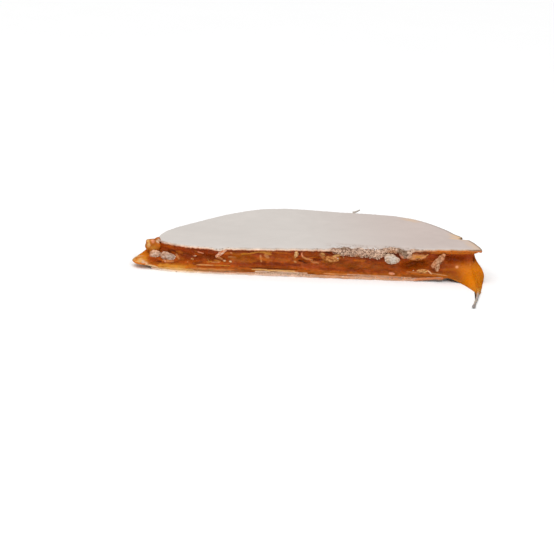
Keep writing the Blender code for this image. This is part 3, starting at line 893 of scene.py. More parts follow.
# %% Strokes on the cut face
TONES = named_tones(
    deep=(100, 36, 2), dusk=(126, 45, 6), red=(140, 52, 6), rust=(152, 66, 5), brown=(146, 72, 10),
    amber=(168, 88, 8), honey=(196, 126, 40), straw=(220, 168, 100), tan=(204, 140, 84),
    rose=(230, 154, 114), pale=(246, 208, 160), orange=(186, 98, 12), glow=(214, 120, 6),
    olive=(168, 118, 60), crumb=(224, 188, 160), ash=(160, 150, 138), dust=(176, 166, 152),
    steel=(142, 138, 132), husk=(200, 190, 180), chaff=(176, 168, 158),
)
# Each stroke: its two ends in x and seen height, half width, how far it stands out, tone and strength.
# Dark strokes in hollows, creases, by the flakes and under the wafer: darker thick caramel and painted
# shade.
STROKES = (
    (-42.4, 8.3, -38.5, 6.9, 0.8, -0.1, "rust", 0.9),  # shaded hollow under the wafer's left end
    (-38.5, 6.9, -33.0, 6.2, 0.75, -0.1, "red", 0.9),
    (-33.0, 6.7, -28.3, 6.1, 0.5, -0.08, "dusk", 0.9),
    (-39.4, 6.3, -37.7, 5.6, 0.3, -0.2, "deep", 0.9),  # dark beside the corner flake
    (-38.0, 5.9, -36.5, 5.6, 0.4, 0.1, "amber", 0.7),
    (-36.5, 4.6, -31.5, 4.2, 1.0, -0.1, "dusk", 0.8),
    (-30.6, 5.4, -27.8, 4.7, 0.6, -0.1, "dusk", 0.8),
    (-38.1, 5.1, -37.3, 4.0, 0.34, 0.12, "tan", 0.6),
    (-41.6, 3.35, -38.9, 3.1, 0.3, 0.15, "tan", 0.5),  # torn lower rim of the corner flake
    (-37.1, 4.3, -36.1, 3.9, 0.45, 0.05, "brown", 0.8),
    (-44.9, 3.7, -42.3, 2.9, 0.45, -0.2, "red", 0.9),  # red band under the corner flake
    (-43.1, 2.9, -42.2, 2.9, 0.25, -0.2, "deep", 0.9),
    (-42.3, 1.9, -35.2, 1.7, 0.75, 0.22, "honey", 1.0),  # lip along the foot
    (-45.2, 1.75, -42.6, 0.95, 0.32, 0.05, "pale", 0.9),  # wafer that shows under the swollen end
    (-40.0, 2.4, -33.5, 2.4, 0.25, 0.1, "amber", 0.8),
    # Straw band above the foot: partly the lip's own colour, partly painted light lifting the shade under
    # the lip.
    (-42.6, 1.15, -33.5, 1.0, 0.3, 0.18, "straw", 1.0),
    (-35.2, 1.7, -32.6, 1.9, 0.55, 0.18, "orange", 0.9),
    (-32.5, 2.45, -28.0, 2.5, 0.18, 0.18, "tan", 1.0),  # pale line
    (-28.0, 2.5, -23.5, 2.55, 0.15, 0.14, "honey", 0.8),
    (-32.5, 1.95, -24.0, 1.9, 0.26, -0.14, "rust", 0.9),  # crease above the lip
    (-33.0, 1.3, -22.0, 1.35, 0.26, 0.1, "orange", 0.8),
    (-33.0, 0.85, -22.0, 0.9, 0.18, 0.08, "olive", 0.8),
    (-33.1, 6.4, -32.6, 5.9, 0.28, 0.12, "brown", 0.8),
    (-32.3, 6.05, -30.9, 5.7, 0.17, 0.2, "rose", 0.9),
    (-33.4, 4.95, -32.7, 4.9, 0.28, 0.2, "rose", 0.9),
    (-33.9, 4.05, -33.5, 3.95, 0.3, 0.2, "tan", 0.9),
    (-29.7, 3.3, -28.4, 3.6, 0.14, 0.15, "honey", 0.9),  # wrinkles
    (-28.6, 3.3, -26.2, 3.5, 0.12, 0.15, "tan", 0.9),
    (-27.8, 3.95, -26.0, 3.7, 0.12, 0.15, "honey", 0.9),
    (-29.6, 4.2, -29.1, 3.4, 0.12, 0.15, "olive", 0.8),
    (-27.3, 5.1, -25.7, 4.4, 0.34, 0.3, "tan", 0.9),
    # Painted highlights: two small pale glints on the caramel.
    (-25.3, 3.95, -24.8, 3.9, 0.24, 0.22, "pale", 1.0),
    (-23.6, 3.75, -23.2, 3.7, 0.22, 0.22, "pale", 1.0),
    (-25.4, 5.9, -22.6, 6.2, 0.35, 0.05, "orange", 0.7),
    (-23.5, 6.15, -23.0, 6.0, 0.22, 0.15, "rose", 0.8),
    (-24.0, 5.0, -22.0, 4.9, 0.26, 0.12, "tan", 0.7),
    (-23.5, 6.95, -16.5, 6.95, 0.24, -0.08, "rust", 0.9),  # shade along the wafer
    (-23.0, 5.9, -18.0, 5.5, 0.6, 0.05, "amber", 0.7),
    (-20.6, 5.9, -18.6, 6.15, 0.26, 0.14, "honey", 0.8),
    (-18.6, 6.15, -16.0, 6.7, 0.24, 0.18, "honey", 0.9),
    (-23.0, 4.6, -17.0, 4.2, 0.85, 0.05, "amber", 0.6),
    (-23.5, 3.1, -17.0, 3.0, 0.35, -0.08, "red", 0.8),
    (-19.5, 5.2, -17.0, 4.9, 0.45, -0.05, "rust", 0.8),
    (-15.4, 5.7, -15.1, 4.0, 0.3, 0.12, "tan", 0.7),  # light patch
    (-14.6, 6.7, -12.6, 6.2, 0.5, 0.12, "honey", 0.9),
    (-14.2, 5.9, -13.2, 5.2, 0.42, 0.1, "tan", 0.6),
    (-16.6, 6.6, -12.4, 6.8, 0.28, 0.1, "honey", 0.8),
    (-16.0, 4.9, -12.4, 4.5, 0.5, 0.05, "orange", 0.6),
    (-12.0, 6.75, -7.2, 6.65, 0.24, 0.08, "orange", 0.7),
    (-12.0, 5.8, -7.2, 5.6, 0.7, -0.05, "rust", 0.8),
    (-11.2, 4.9, -7.5, 4.6, 0.35, 0.06, "amber", 0.6),
    (-17.0, 3.4, -4.6, 3.35, 0.48, -0.1, "dusk", 0.9),  # dark band low down
    (-18.0, 2.15, -5.2, 2.05, 0.15, -0.18, "deep", 0.9),
    (-6.4, 5.8, -6.0, 5.0, 0.34, 0.08, "amber", 0.8),
    (-6.2, 4.5, -5.7, 4.2, 0.26, 0.15, "tan", 0.8),
    (-4.9, 7.0, -4.8, 6.2, 0.2, -0.25, "deep", 0.9),
    (-4.25, 6.8, -4.05, 5.9, 0.26, 0.2, "rose", 0.8),
    (-3.6, 6.6, 0.1, 6.6, 0.7, -0.1, "rust", 0.9),  # hollow above the swirl
    (-4.1, 5.9, -3.0, 5.3, 0.26, 0.22, "tan", 0.7),  # swirl
    (-3.0, 5.3, -1.2, 5.0, 0.28, 0.2, "tan", 0.7),
    (-2.1, 5.6, 0.2, 5.9, 0.14, 0.15, "orange", 0.7),
    (-0.7, 5.3, 1.2, 5.1, 0.42, -0.18, "dusk", 0.9),
    (-1.6, 4.6, 0.5, 4.2, 0.3, 0.16, "tan", 0.5),
    (-4.8, 4.75, -3.7, 4.4, 0.26, -0.25, "deep", 0.9),
    (-3.6, 4.1, -2.5, 4.1, 0.22, -0.2, "deep", 0.8),
    (-3.5, 3.2, 2.0, 3.1, 0.5, 0.0, "red", 0.6),
    (1.2, 2.6, 5.0, 2.6, 0.35, -0.06, "dusk", 0.8),
    (1.0, 6.6, 3.0, 5.3, 0.6, 0.08, "tan", 0.6),  # rough beige hollow
    (1.2, 7.0, 1.9, 6.7, 0.26, 0.1, "straw", 0.7),
    (2.8, 5.6, 5.2, 5.3, 0.65, 0.2, "honey", 1.0),
    (3.0, 5.9, 5.0, 5.5, 0.25, 0.2, "straw", 0.8),
    (4.8, 6.05, 5.8, 5.6, 0.28, 0.22, "rose", 0.9),
    (4.4, 6.2, 6.8, 7.2, 0.38, 0.15, "straw", 0.9),
    (1.9, 5.9, 3.0, 4.9, 0.55, 0.12, "honey", 0.9),
    (4.9, 5.2, 6.2, 5.9, 0.45, 0.12, "honey", 0.9),
    (1.5, 4.7, 4.5, 4.4, 0.35, 0.08, "amber", 0.8),
    (1.4, 7.85, 3.6, 7.0, 0.22, -0.3, "deep", 1.0),  # dark slash
    (3.6, 7.0, 4.4, 6.7, 0.16, -0.25, "dusk", 0.9),
    (6.7, 5.9, 12.0, 6.1, 0.9, 0.12, "rust", 0.9),  # knob
    (8.3, 6.95, 12.3, 6.65, 0.16, -0.15, "deep", 0.7),
    (10.2, 5.3, 13.2, 5.4, 0.35, 0.08, "orange", 0.6),
    (13.8, 5.9, 17.8, 5.6, 0.55, -0.08, "red", 1.0),
    (5.5, 3.9, 18.0, 3.7, 0.7, 0.04, "brown", 0.7),
    (5.0, 2.55, 19.0, 2.25, 0.26, -0.06, "red", 0.7),
    (18.5, 3.8, 24.0, 3.6, 0.6, 0.0, "rust", 0.6),
    (20.1, 2.1, 21.3, 1.95, 0.4, 0.25, "rose", 0.8),  # flat bit under the round crumb
    (22.5, 4.6, 25.5, 3.6, 0.6, 0.0, "red", 0.6),
    (24.8, 6.9, 29.4, 7.2, 0.75, 0.3, "tan", 0.9),  # tongue above the pocket
    (24.8, 6.5, 27.6, 6.1, 0.26, 0.3, "tan", 0.6),
    (27.6, 6.1, 30.2, 7.8, 0.24, 0.25, "tan", 0.9),
    (26.9, 7.05, 28.3, 7.1, 0.3, 0.05, "honey", 1.0),
    (26.4, 7.95, 30.5, 8.3, 0.2, 0.05, "brown", 0.8),
    (23.2, 5.1, 30.5, 4.9, 0.7, -0.05, "rust", 0.8),  # deep pocket
    (22.9, 7.6, 25.2, 7.2, 0.75, 0.25, "crumb", 0.8),  # crumb beside the round crumb
    (23.0, 6.9, 25.0, 6.7, 0.35, 0.2, "rose", 0.7),
    (18.2, 7.45, 22.0, 7.6, 0.35, -0.1, "dusk", 1.0),  # dark arc over the round crumb
    (21.9, 7.7, 22.6, 6.3, 0.22, -0.15, "dusk", 0.9),
    (25.5, 4.1, 30.0, 3.9, 0.26, 0.12, "brown", 0.7),
    (30.6, 7.0, 32.4, 7.3, 0.8, -0.05, "red", 0.8),
    (31.0, 8.3, 44.4, 8.7, 0.34, 0.15, "orange", 0.9),  # light layer under the wafer's right end
    (34.0, 7.2, 42.6, 6.9, 0.95, -0.1, "red", 0.9),
    (35.6, 7.3, 38.8, 6.4, 0.5, -0.06, "dusk", 0.7),
    (33.8, 5.2, 36.5, 5.0, 0.6, 0.0, "rust", 0.7),
    (36.5, 5.9, 42.8, 5.8, 0.75, 0.0, "red", 0.6),
    (35.0, 3.7, 38.0, 3.9, 0.5, 0.0, "amber", 0.8),
    # Painted highlight: a glint on the drip, rose with a pale centre.
    (38.3, 4.55, 38.5, 4.55, 0.42, 0.25, "rose", 1.0),  # bright spot
    (38.35, 4.6, 38.45, 4.6, 0.22, 0.1, "pale", 1.0),
    (41.8, 5.3, 42.1, 5.3, 0.22, 0.1, "tan", 0.6),
    (24.8, 2.75, 30.5, 2.55, 0.14, 0.14, "tan", 0.7),  # pulled film along the foot
    (30.6, 3.2, 31.6, 2.4, 0.2, 0.2, "pale", 0.9),
    (31.5, 2.6, 36.0, 1.95, 0.17, 0.18, "tan", 1.0),
    (26.0, 2.25, 34.0, 1.9, 0.24, 0.12, "orange", 0.9),
    (25.0, 1.6, 33.5, 1.3, 0.22, -0.08, "brown", 0.9),
    (34.0, 1.5, 40.0, 0.5, 0.15, 0.12, "honey", 0.8),
    (28.1, 3.15, 30.3, 3.05, 0.3, 0.2, "straw", 1.0),
    (-34.0, 1.25, -20.0, 1.2, 0.3, 0.05, "tan", 0.6),
    (-23.0, 1.2, -17.5, 1.3, 0.25, 0.0, "brown", 0.8),  # foot with crumb pressed into it
    (-17.5, 1.7, -13.5, 1.75, 0.2, 0.15, "straw", 0.9),
    (-14.0, 1.6, -6.0, 1.65, 0.22, 0.18, "straw", 1.0),
    (-16.5, 1.1, -2.6, 1.15, 0.36, 0.2, "crumb", 0.9),
    (-12.6, 1.25, -10.6, 1.3, 0.12, -0.1, "brown", 0.8),
    (-4.9, 1.5, -3.6, 1.4, 0.14, -0.1, "brown", 0.8),
    (2.0, 1.3, 8.5, 1.2, 0.2, 0.12, "tan", 0.7),
    (8.5, 1.25, 26.0, 0.95, 0.3, 0.15, "crumb", 0.5),
)
print("strokes on the cut face:", len(STROKES))
STREAK_STRETCH = np.array([0.4, 1.0, 1.0])  # streaks are longer along the cut
# The size and seed of each noise on the caramel: what frays its strokes, its fine and its wide streaks.
FRAY, FINE_STREAKS, WIDE_STREAKS = (0.9, 51), (0.38, 52), (1.3, 53)
SLANT = math.tan(math.radians(16.9))  # of the view, for judging heights on the face


def seen_height(points):
    """Height as it looks from a little above the cut: a point farther back looks higher, by the slant."""
    return points[..., 2] + (points[..., 1] - CUT_Y) * SLANT


def stroke_mask(points, wobble, x0, z0, x1, z1, half_width):
    """1 near the line between two places on the face, fading to 0 at 1.4 half widths, and frayed."""
    flat = np.stack([points[..., 0], seen_height(points)], axis=-1)
    start, along = np.array([x0, z0]), np.array([x1 - x0, z1 - z0])
    t = np.clip((flat - start) @ along / (along @ along), 0.0, 1.0)[..., None]
    away = np.linalg.norm(flat - start - t * along, axis=-1)
    taper = 0.55 + 0.45 * np.sin(math.pi * np.clip(t[..., 0], 0.04, 0.96)) ** 0.5
    return 1.0 - smooth_step(0.4, 1.4, away / (half_width * taper) + 0.35 * wobble)


# Soft spots on the swollen left end: place along the cut, seen height, radius and tone.
SWELL_SPOTS = (
    (-46.2, 5.2, 0.9, "orange"), (-47.6, 4.4, 1.0, "glow"), (-48.7, 4.3, 0.5, "pale"),
    (-49.6, 3.6, 0.8, "straw"), (-46.4, 3.3, 0.8, "honey"), (-48.0, 3.0, 0.7, "straw"),
    (-45.2, 3.5, 0.7, "rust"), (-45.4, 6.0, 0.6, "honey"), (-46.9, 2.6, 0.45, "crumb"),
    (-46.0, 2.2, 0.5, "pale"), (-45.2, 1.75, 0.5, "pale"),
)


def spotted(tint, points, spots, seed):
    """A tint with soft spots painted in, each fading from 0.4 of its radius outwards and frayed."""
    wobble = grain(points, 0.5, seed)
    for x, height, radius, name in spots:
        away = np.hypot(points[..., 0] - x, seen_height(points) - height) / radius
        tint = layered(tint, (TONES[name], 0.9 * (1.0 - smooth_step(0.4, 1.5, away + 0.6 * wobble))))
    return tint


# %% The caramel's rings
CARAMEL_STEPS = (300, 780, 130)
SIDE_ROWS = np.concatenate([[0.0, 0.004, 0.009, 0.015], np.linspace(0.024, 1.0, 56)])
UNDER_RINGS = (0.5, 0.7, 0.78, 0.84, 0.89, 0.93, 0.97)
OVER_RINGS = (0.985, 0.95, 0.8, 0.5)


def caramel_plans():
    """The caramel's lower and upper outlines, and the lower one with the sagging skirt in its place."""
    edge, shares = skirt_points(CARAMEL_STEPS[2])
    foot, head = [
        outline(rim, front, ends, fade, CARAMEL_STEPS, shares) for rim, front, ends, fade in (
            (caramel_base_rim, caramel_base_front, CARAMEL_BASE_ENDS, BASE_CORNER_FADE),
            (caramel_top_rim, caramel_top_front, CARAMEL_TOP_ENDS, TOP_CORNER_FADE),
        )
    ]
    return foot, head, np.concatenate([foot[:-CARAMEL_STEPS[2]], edge])


def caramel_side(foot, head, sagged, on_cut, in_skirt):
    """Rows x count points up the side: from the sagged foot to the head, moved out by the relief.

    The way from foot to head is straight, but in the skirt it is 1 - (1 - v)^5, which is thin and steep.
    """
    v = SIDE_ROWS[:, None]
    way = np.where(in_skirt, 1.0 - (1.0 - v) ** SKIRT_STEEPNESS, v)[..., None]
    plan = mix(sagged[None], head[None], way)
    angle = np.arctan2(foot[:, 1], foot[:, 0])
    stand = np.where(on_cut, cut_relief(plan[..., 0], v), rim_relief(angle, v))
    stand = stand * np.where(in_skirt, smooth_step(0.45, 0.75, v), 1.0)
    low, high = caramel_base(*sagged.T), caramel_top(*head.T)
    placed = plan + outward(plan) * stand[..., None]
    placed[..., 0] -= pulled_left(placed, v)
    return np.concatenate([placed, mix(low, high, v)[..., None]], axis=-1)


def stroked(side, stand, tone, fine):
    """The strokes laid over the face one by one: each moves its points and mixes in its tone."""
    wobble = grain(side, *FRAY)
    for x0, z0, x1, z1, half_width, out, name, strength in STROKES:
        mask = stroke_mask(side, wobble, x0, z0, x1, z1, half_width)
        stand = stand + out * mask
        tone = layered(tone, (TONES[name] * (1.0 + 0.12 * fine)[..., None], strength * mask))
    return stand, tone


def caramel_details(side, on_cut, in_skirt):
    """The strokes and the fine streaks: how far each point stands out, and its tone."""
    v = SIDE_ROWS[:, None]
    x, y, height = side[..., 0], side[..., 1], seen_height(side)
    fine, wide = [grain(side * STREAK_STRETCH, *streaks) for streaks in (FINE_STREAKS, WIDE_STREAKS)]
    smooth_tip = 1.0 - 0.8 * smooth_step(34.0, 38.0, x)
    # Redder and darker up the face to the upper wafer: partly thicker caramel, partly painted shade.
    tone = layered(
        TONES["amber"], (TONES["rust"], smooth_step(0.05, 0.3, v)),
        (TONES["red"], smooth_step(0.6, 0.95, v)),
    )
    tone = tone * (1.0 + smooth_tip * (0.3 * fine + 0.3 * wide))[..., None]
    stand, tone = stroked(side, smooth_tip * (0.09 * fine + 0.1 * wide), tone, fine)
    # The rim is redder at its top, under the wafer: partly thicker caramel, partly painted shade.
    rim = layered(
        TONES["brown"], (TONES["amber"], smooth_step(-0.6, 0.6, wide)),
        (TONES["red"], smooth_step(0.72, 1.0, v)),
    )
    swollen = spotted(mix(TONES["orange"], TONES["glow"], 0.4), side, SWELL_SPOTS, 54)
    left = smooth_step(-44.4, -46.0, x + 0.8 * grain(side, *FRAY)) * (1.0 - smooth_step(12.0, 18.0, y))
    below = 1.0 - smooth_step(3.4, 7.2, height - 0.15 * (x - 40.0))
    drip = smooth_step(36.5, 40.5, x + 0.5 * height - 2.0) * below
    tone = layered(
        np.where(on_cut[:, None], tone, rim),
        (swollen * (1.0 + 0.15 * wide)[..., None], 0.95 * left),
        (TONES["glow"] * (1.0 + 0.1 * wide)[..., None], 0.9 * drip),
        (TONES["honey"], 0.7 * smooth_step(1.0, -6.5, y)),
        (TONES["ash"], 0.85 * smooth_step(-5.5, -9.5, y)),
    )
    calm = np.where(on_cut, 1.0, 0.4) * np.where(in_skirt, smooth_step(0.45, 0.75, v), 1.0)
    return stand * calm * np.sin(math.pi * v) ** 0.4, tone


# %% Make the caramel
foot_plan, head_plan, sagged_plan = caramel_plans()
steps_along = np.arange(len(foot_plan))
on_cut = steps_along >= CARAMEL_STEPS[0]
in_skirt = steps_along >= len(foot_plan) - CARAMEL_STEPS[2]
caramel_sides = caramel_side(foot_plan, head_plan, sagged_plan, on_cut, in_skirt)
details, side_tones = caramel_details(caramel_sides, on_cut, in_skirt)
caramel_sides[..., :2] += outward(caramel_sides[..., :2]) * details[..., None]
under = np.array([ring_at(towards_hub(foot_plan, share), caramel_base) for share in UNDER_RINGS])
over = np.array([ring_at(towards_hub(head_plan, share), caramel_top) for share in OVER_RINGS])
hidden_tones = [0.0 * rings + TONES["brown"] for rings in (under, over)]
new_skin("caramel_body", np.concatenate([under, caramel_sides, over]),
         np.concatenate([hidden_tones[0], side_tones, hidden_tones[1]]), "caramel", "caramel_filling")
cut_points = caramel_sides[:, on_cut]


# %% [markdown]
# ## Flakes and crumbs on the cut
# Bits of wafer were dragged into the caramel by the knife. The larger ones are balls on a grid of
# latitude and longitude, stretched, leaned over and roughened by packed grains. Each sits where the
# solid has its own lump.


# %% Larger flakes
def face_point(x, v):
    """A point on the cut face: between its lower and upper edge at x, moved out by the relief."""
    along = slice(CARAMEL_STEPS[0], None)
    base_y = np.interp(x, foot_plan[along, 0], foot_plan[along, 1])
    top_y = np.interp(x, head_plan[along, 0], head_plan[along, 1])
    height = mix(caramel_base(x, base_y), caramel_top(x, top_y), v)
    return np.array([x, mix(base_y, top_y, v) - cut_relief(x, v), height])


LUMP_ROWS, LUMP_COUNT = 44, 88
LUMP_WAVE, LUMP_UNEVEN = 0.8, 0.22  # size and depth of a lump's large bumps, as shares of its radius
FLAKE_GRAIN, FLAKE_ROUGHNESS, FLAKE_ROUGHEST = 0.5, 0.16, 0.3
BLUSH = np.array([1.04, 0.86, 0.74])


def lump(centre, size, lean, seed, grain_size, roughness, squareness=2.0):
    """A ball of latitudes and longitudes, its radius 1 over a power norm, stretched and roughened."""
    latitude = np.linspace(0.0, math.pi, LUMP_ROWS + 2)[1:-1, None]
    longitude = full_turn(LUMP_COUNT)
    across = np.sin(latitude)
    way = np.stack([
        across * np.cos(longitude), across * np.sin(longitude), -np.cos(latitude) + 0.0 * longitude
    ], axis=-1)
    way = way / (np.abs(way) ** squareness).sum(axis=-1, keepdims=True) ** (1.0 / squareness)
    points = way * (1.0 + LUMP_UNEVEN * grain(way, LUMP_WAVE, seed)[..., None]) * np.array(size) * 0.5
    cos, sin = math.cos(math.radians(lean)), math.sin(math.radians(lean))
    points = points @ np.array([[cos, 0.0, -sin], [0.0, 1.0, 0.0], [sin, 0.0, cos]]) + np.array(centre)
    domes = crumbly(points, grain_size, seed + 1)
    return pushed_out(points, roughness * domes), domes


def build_flake(name, place, size, lean, seed, pale, dark):
    """A lump with painted shade in its creases, dark in a few specks, with warmer patches and a warm
    outline.
    """
    pale, dark = light_of(*pale), light_of(*dark)
    roughness = min(FLAKE_ROUGHEST, FLAKE_ROUGHNESS * min(size))
    points, domes = lump(place, size, lean, seed, FLAKE_GRAIN, roughness)
    specks = smooth_step(0.25, 0.6, grain(points, 0.42, seed + 3))
    # From dark in the creases to pale on the domes is painted shade; the specks are the flake's own dark.
    tint = layered(dark, (pale, smooth_step(-0.35, 0.15, domes)), (dark, 0.6 * specks))
    across, up = [(points[..., n] - place[n]) / size[n] for n in (0, 2)]
    outline_blush = smooth_step(0.6, 1.0, 2.0 * np.hypot(across, up))
    blush = np.maximum(smooth_step(0.0, 0.7, grain(points, 1.2, seed + 2)), outline_blush)
    tint = layered(tint, (tint * BLUSH, blush))
    new_skin(name, points, tint, "wafer", "caramel_filling")


GREY_FLAKE, GREY_SHADE = (208, 182, 166), (156, 124, 104)
# Name, x, share of height, how far proud, size in x, y and z, lean, the pale and the dark colour.
FLAKES = (
    ("corner_flake_a", -43.5, 0.46, 0.1, (3.3, 1.5, 2.7), 12.0, (222, 188, 166), (172, 136, 110)),
    ("corner_flake_b", -39.9, 0.45, 0.1, (4.8, 1.4, 2.6), 20.0, GREY_FLAKE, GREY_SHADE),
    ("slanting_scrap", -26.0, 0.88, 0.1, (3.6, 1.1, 1.0), -40.0, (238, 200, 176), (196, 120, 76)),
    ("hanging_strip", -5.8, 0.86, 0.1, (1.1, 1.1, 2.0), 4.0, (226, 184, 128), (184, 116, 56)),
    ("torn_scrap", 3.8, 0.66, 0.2, (4.0, 1.2, 1.6), 10.0, (212, 150, 88), (150, 84, 32)),
    ("round_crumb", 20.1, 0.73, 0.5, (4.2, 2.2, 2.6), 4.0, (214, 202, 190), (164, 146, 130)),
    ("slanting_strip", 33.1, 0.68, 0.6, (1.7, 1.4, 5.2), 42.0, (208, 158, 124), (150, 98, 62)),
    ("strip_foot", 32.9, 0.47, 0.6, (1.3, 1.3, 3.2), 4.0, (220, 174, 138), (146, 94, 58)),
    ("low_scrap", 28.9, 0.28, 0.3, (3.2, 0.9, 0.8), -6.0, (214, 156, 96), (170, 100, 46)),
)
for number, (name, x, v, proud, size, lean, pale, dark) in enumerate(FLAKES):
    centre = face_point(x, v) - np.array([0.0, proud, 0.0])
    build_flake(name, centre, size, lean, 200 + 7 * number, pale, dark)


# %% The ear of caramel at the left corner
# Soft spots on the ear: place along the cut, seen height, radius and tone.
EAR_SPOTS = (
    (-43.9, 7.4, 1.1, "orange"), (-44.4, 6.6, 0.7, "honey"), (-44.9, 8.0, 0.6, "orange"),
    (-44.5, 8.7, 0.5, "rose"), (-45.6, 7.5, 0.55, "straw"), (-45.8, 8.7, 0.5, "straw"),
    (-43.0, 8.9, 0.55, "crumb"), (-46.4, 7.6, 0.45, "olive"), (-46.3, 6.4, 0.5, "honey"),
)
EAR_PLACE, EAR_SIZE, EAR_LEAN = (-44.5, 9.5, 5.45), (3.8, 2.6, 3.7), -4.0


def build_ear():
    """A squarish ball, drawn in at its lower left by a product of two S-curves."""
    points, _ = lump(EAR_PLACE, EAR_SIZE, EAR_LEAN, 300, 1.4, 0.2, squareness=7.0)
    x, z = points[..., 0], points[..., 2]
    points[..., 0] += 0.7 * smooth_step(6.0, 3.8, z) * smooth_step(-44.4, -46.4, x)
    tint = layered(TONES["amber"], (TONES["orange"], smooth_step(-0.3, 0.3, grain(points, 0.9, 301))))
    new_skin("corner_ear", points, spotted(tint, points, EAR_SPOTS, 302), "caramel", "caramel_filling")


build_ear()


# %% The thread that the caramel was drawn out to
# Its path on the table: x, y and z.
THREAD_PATH = (
    (43.2, -4.6, 0.62), (42.82, -6.6, 0.66), (42.25, -9.0, 0.52), (41.45, -11.9, 0.45),
    (40.5, -14.9, 0.42), (39.65, -17.6, 0.42), (39.1, -19.5, 0.5),
)
THREAD_RADII = 0.36, 0.3  # at its root and its tip
# As shares of the way, then the extra radius: the wider root, the bead, and where the round tip begins.
ROOT_LENGTH, ROOT_EXTRA = 0.25, 0.25
BEAD_PLACE, BEAD_REACH, BEAD_EXTRA = 0.93, 0.1, 0.14
THREAD_CLOSES = 0.97


def tube(path_points, radius_at, steps, sides):
    """A tube round a path: two directions square to it carry a circle. Also the share of the way."""
    share = np.linspace(0.0, 1.0, steps)
    at = np.array(path_points)
    path = np.stack([np.interp(share, np.linspace(0.0, 1.0, len(at)), at[:, n]) for n in range(3)], -1)
    way = unit(np.gradient(path, axis=0))
    side = unit(np.cross(way, [0.0, 0.0, 1.0]))
    turn = full_turn(sides)[None, :, None]
    circle = np.cos(turn) * side[:, None] + np.sin(turn) * np.cross(way, side)[:, None]
    return path[:, None] + radius_at(share)[:, None, None] * circle, share[:, None] + 0.0 * turn[..., 0]


def thread_radius(share):
    """It narrows a little, swells to a bead at the tip and closes there as a quarter circle."""
    radius = mix(*THREAD_RADII, share) + BEAD_EXTRA * bump(share, BEAD_PLACE, BEAD_REACH)
    radius = radius + ROOT_EXTRA * (1.0 - smooth_step(0.0, ROOT_LENGTH, share))
    past = np.clip((share - THREAD_CLOSES) / (1.0 - THREAD_CLOSES), 0.0, 1.0)
    return radius * np.sqrt(np.maximum(1.0 - past**2, 0.02))


def build_thread():
    """The drawn-out thread: honey at its root, dusty grey along it and darker at its bead."""
    rings, share = tube(THREAD_PATH, thread_radius, 48, 20)
    tint = layered(
        TONES["honey"], (TONES["dust"], smooth_step(0.15, 0.38, share)),
        (TONES["steel"], smooth_step(0.8, 0.92, share)),
    )
    new_skin("caramel_thread", rings, tint, "caramel", "caramel_filling")


build_thread()


# %% [markdown]
# ## Small crumbs
# There are hundreds of small crumbs, so each is a ball of only 20 or 80 faces. They are all worked
# out at once as arrays and joined in one mesh, which is far lighter than an object for each.


# %% Copies of one small ball
def ball_shape(levels):
    """The corners and faces of a small ball."""
    mesh = bpy.data.meshes.new("ball")
    work = bmesh.new()
    bmesh.ops.create_icosphere(work, subdivisions=levels, radius=1.0)
    work.to_mesh(mesh)
    work.free()
    corners = np.zeros(len(mesh.vertices) * 3)
    mesh.vertices.foreach_get("co", corners)
    faces = np.zeros(len(mesh.loops), int)
    mesh.loops.foreach_get("vertex_index", faces)
    bpy.data.meshes.remove(mesh)
    return corners.reshape(-1, 3), faces.reshape(-1, 3)


def drawn_turns(draw, count):
    """Random rotation matrices from drawn unit quaternions."""
    quaternions = draw.normal(size=(4, count))
    w, x, y, z = quaternions / np.linalg.norm(quaternions, axis=0)
    return np.stack([
        np.stack([1 - 2 * (y * y + z * z), 2 * (x * y - z * w), 2 * (x * z + y * w)], -1),
        np.stack([2 * (x * y + z * w), 1 - 2 * (x * x + z * z), 2 * (y * z - x * w)], -1),
        np.stack([2 * (x * z - y * w), 2 * (y * z + x * w), 1 - 2 * (x * x + y * y)], -1),
    ], axis=1)


def scatter(name, places, radii, tints, seed, node, levels=2):
    """One mesh of many uneven balls: corners times drawn stretches, turned, scaled and moved."""
    draw = np.random.default_rng(seed)
    corners, faces = ball_shape(levels)
    count, size = len(places), len(corners)
    uneven = corners * draw.uniform(0.72, 1.2, (count, size, 1))
    stretched = uneven * draw.uniform(0.55, 1.25, (count, 1, 3))
    turned = np.einsum("nij,nvj->nvi", drawn_turns(draw, count), stretched)
    points = (turned * radii[:, None, None] + places[:, None]).reshape(-1, 3)
    all_faces = (faces[None] + size * np.arange(count)[:, None, None]).reshape(-1, 3).tolist()
    tints = np.repeat(tints[:, None], size, axis=1) * draw.uniform(0.88, 1.08, (count, size, 1))
    new_piece(name, points, all_faces, tints.reshape(-1, 3), "wafer", node)


def drawn_tints(draw, count, colours, odds):
    """One of a few colours for each crumb, by the odds."""
    palette = np.array([light_of(*colour) for colour in colours])
    return palette[draw.choice(len(colours), size=count, p=odds)]


# %% Crumbs along the crushed edge
def crushed_crumbs():
    """Crumbs on the crushed edge: some have fallen down its front, the others lie a little way back."""
    draw = np.random.default_rng(400)
    count = 900
    x = draw.triangular(3.0, 16.0, 27.0, count)
    back = np.abs(draw.normal(0.0, 0.7, count)) * (0.3 + crushed_share(x))
    front = draw.uniform(size=count) < 0.6
    y = top_front(x) + np.where(front, -0.05, back)
    fall = np.where(front, draw.uniform(0.0, 1.1, count), 0.03)
    places = np.column_stack([x, y, top_face(x, np.maximum(y, CUT_Y)) - fall])
    radii = draw.uniform(0.09, 0.2, count)
    colours = ((236, 200, 172), (208, 172, 148), (160, 128, 108), (112, 82, 64))
    stained = smooth_step(-0.1, 0.3, grain(places, *STAINS)) * smooth_step(0.1, 0.8, fall)
    # Crumbs in the hollow patches are darkened as painted shade.
    hollow = smooth_step(0.1, 0.35, grain(places, *HOLLOWS))
    tints = layered(
        drawn_tints(draw, count, colours, (0.35, 0.25, 0.2, 0.2)),
        (WAFER_TONES["stained"], 0.75 * stained), (WAFER_TONES["hollow"], 0.7 * hollow),
    )
    scatter("crushed_edge_crumbs", places, radii, tints, 401, "top_wafer")


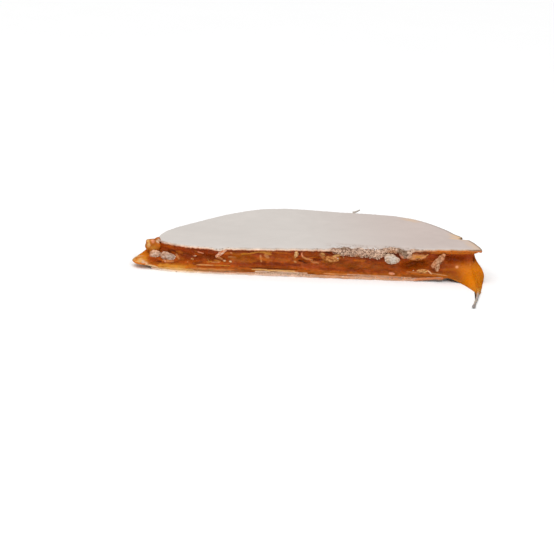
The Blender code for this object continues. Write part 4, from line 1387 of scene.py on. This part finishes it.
def lower_edge_crumbs():
    """Crumbs along the lower wafer's edge: close together in one stretch, thin elsewhere."""
    draw = np.random.default_rng(410)
    count = 420
    crowded = draw.uniform(size=count) < 0.45
    x = np.where(crowded, draw.uniform(-16.0, -2.0, count), draw.uniform(-43.0, 30.0, count))
    start = np.interp(x, *base_plan[FINE_WAFER_STEPS[0]:].T)
    height = draw.uniform(0.15, 0.85, count) + 0.6 * bump(x, -8.0, 9.0) * draw.uniform(0.0, 1.0, count)
    places = np.column_stack([x, start - draw.uniform(-0.1, 0.1, count), height])
    colours = ((236, 208, 184), (214, 176, 146), (170, 122, 88))
    tints = drawn_tints(draw, count, colours, (0.45, 0.4, 0.15))
    radii = draw.uniform(0.07, 0.16, count)
    scatter("lower_edge_crumbs", places, radii, tints, 411, "bottom_wafer", levels=1)


SLIVER_PATH = (14.0, 43.2, 8.4), (15.0, 42.9, 8.8), (16.0, 42.6, 9.45)


def rim_sliver():
    """A splinter of wafer that has lifted from the far rim: a short tube that rises and thins."""
    rings, share = tube(SLIVER_PATH, lambda share: 0.34 - 0.18 * share, 24, 12)
    new_skin("rim_sliver", rings, layered(TONES["husk"], (TONES["chaff"], share)), "wafer", "top_wafer")


crushed_crumbs()
lower_edge_crumbs()
rim_sliver()


# %% Crumbs and two painted glints on the cut face
def on_face(x, height):
    """The point of the caramel's cut face nearest to a place and a seen height."""
    flat = cut_points.reshape(-1, 3)
    away = (flat[:, 0] - x) ** 2 + (seen_height(flat) - height) ** 2
    return flat[np.argmin(away)]


# Place along the cut, seen height, radius and tone.
# The small pale balls at -25.0 and -23.4 sit on two glints: partly crumbs, partly painted highlights.
FACE_CRUMBS_AND_GLINTS = (
    (-32.9, 4.95, 0.26, "crumb"), (-33.8, 4.0, 0.24, "tan"), (-34.9, 3.1, 0.18, "tan"),
    (-24.9, 7.3, 0.42, "crumb"), (-41.0, 3.0, 0.32, "rose"), (-25.0, 3.95, 0.2, "pale"),
    (-23.4, 3.75, 0.18, "pale"), (7.2, 6.0, 0.2, "straw"), (5.6, 5.7, 0.22, "crumb"),
    (24.2, 0.45, 0.42, "crumb"), (23.5, 0.5, 0.3, "crumb"), (26.6, 3.1, 0.18, "crumb"),
)
face_places = np.array([on_face(x, height) for x, height, _, _ in FACE_CRUMBS_AND_GLINTS])
face_radii = np.array([radius for _, _, radius, _ in FACE_CRUMBS_AND_GLINTS])
face_tints = np.array([TONES[name] for _, _, _, name in FACE_CRUMBS_AND_GLINTS])
scatter("face_crumbs_and_glints", face_places, face_radii, face_tints, 420, "caramel_filling")
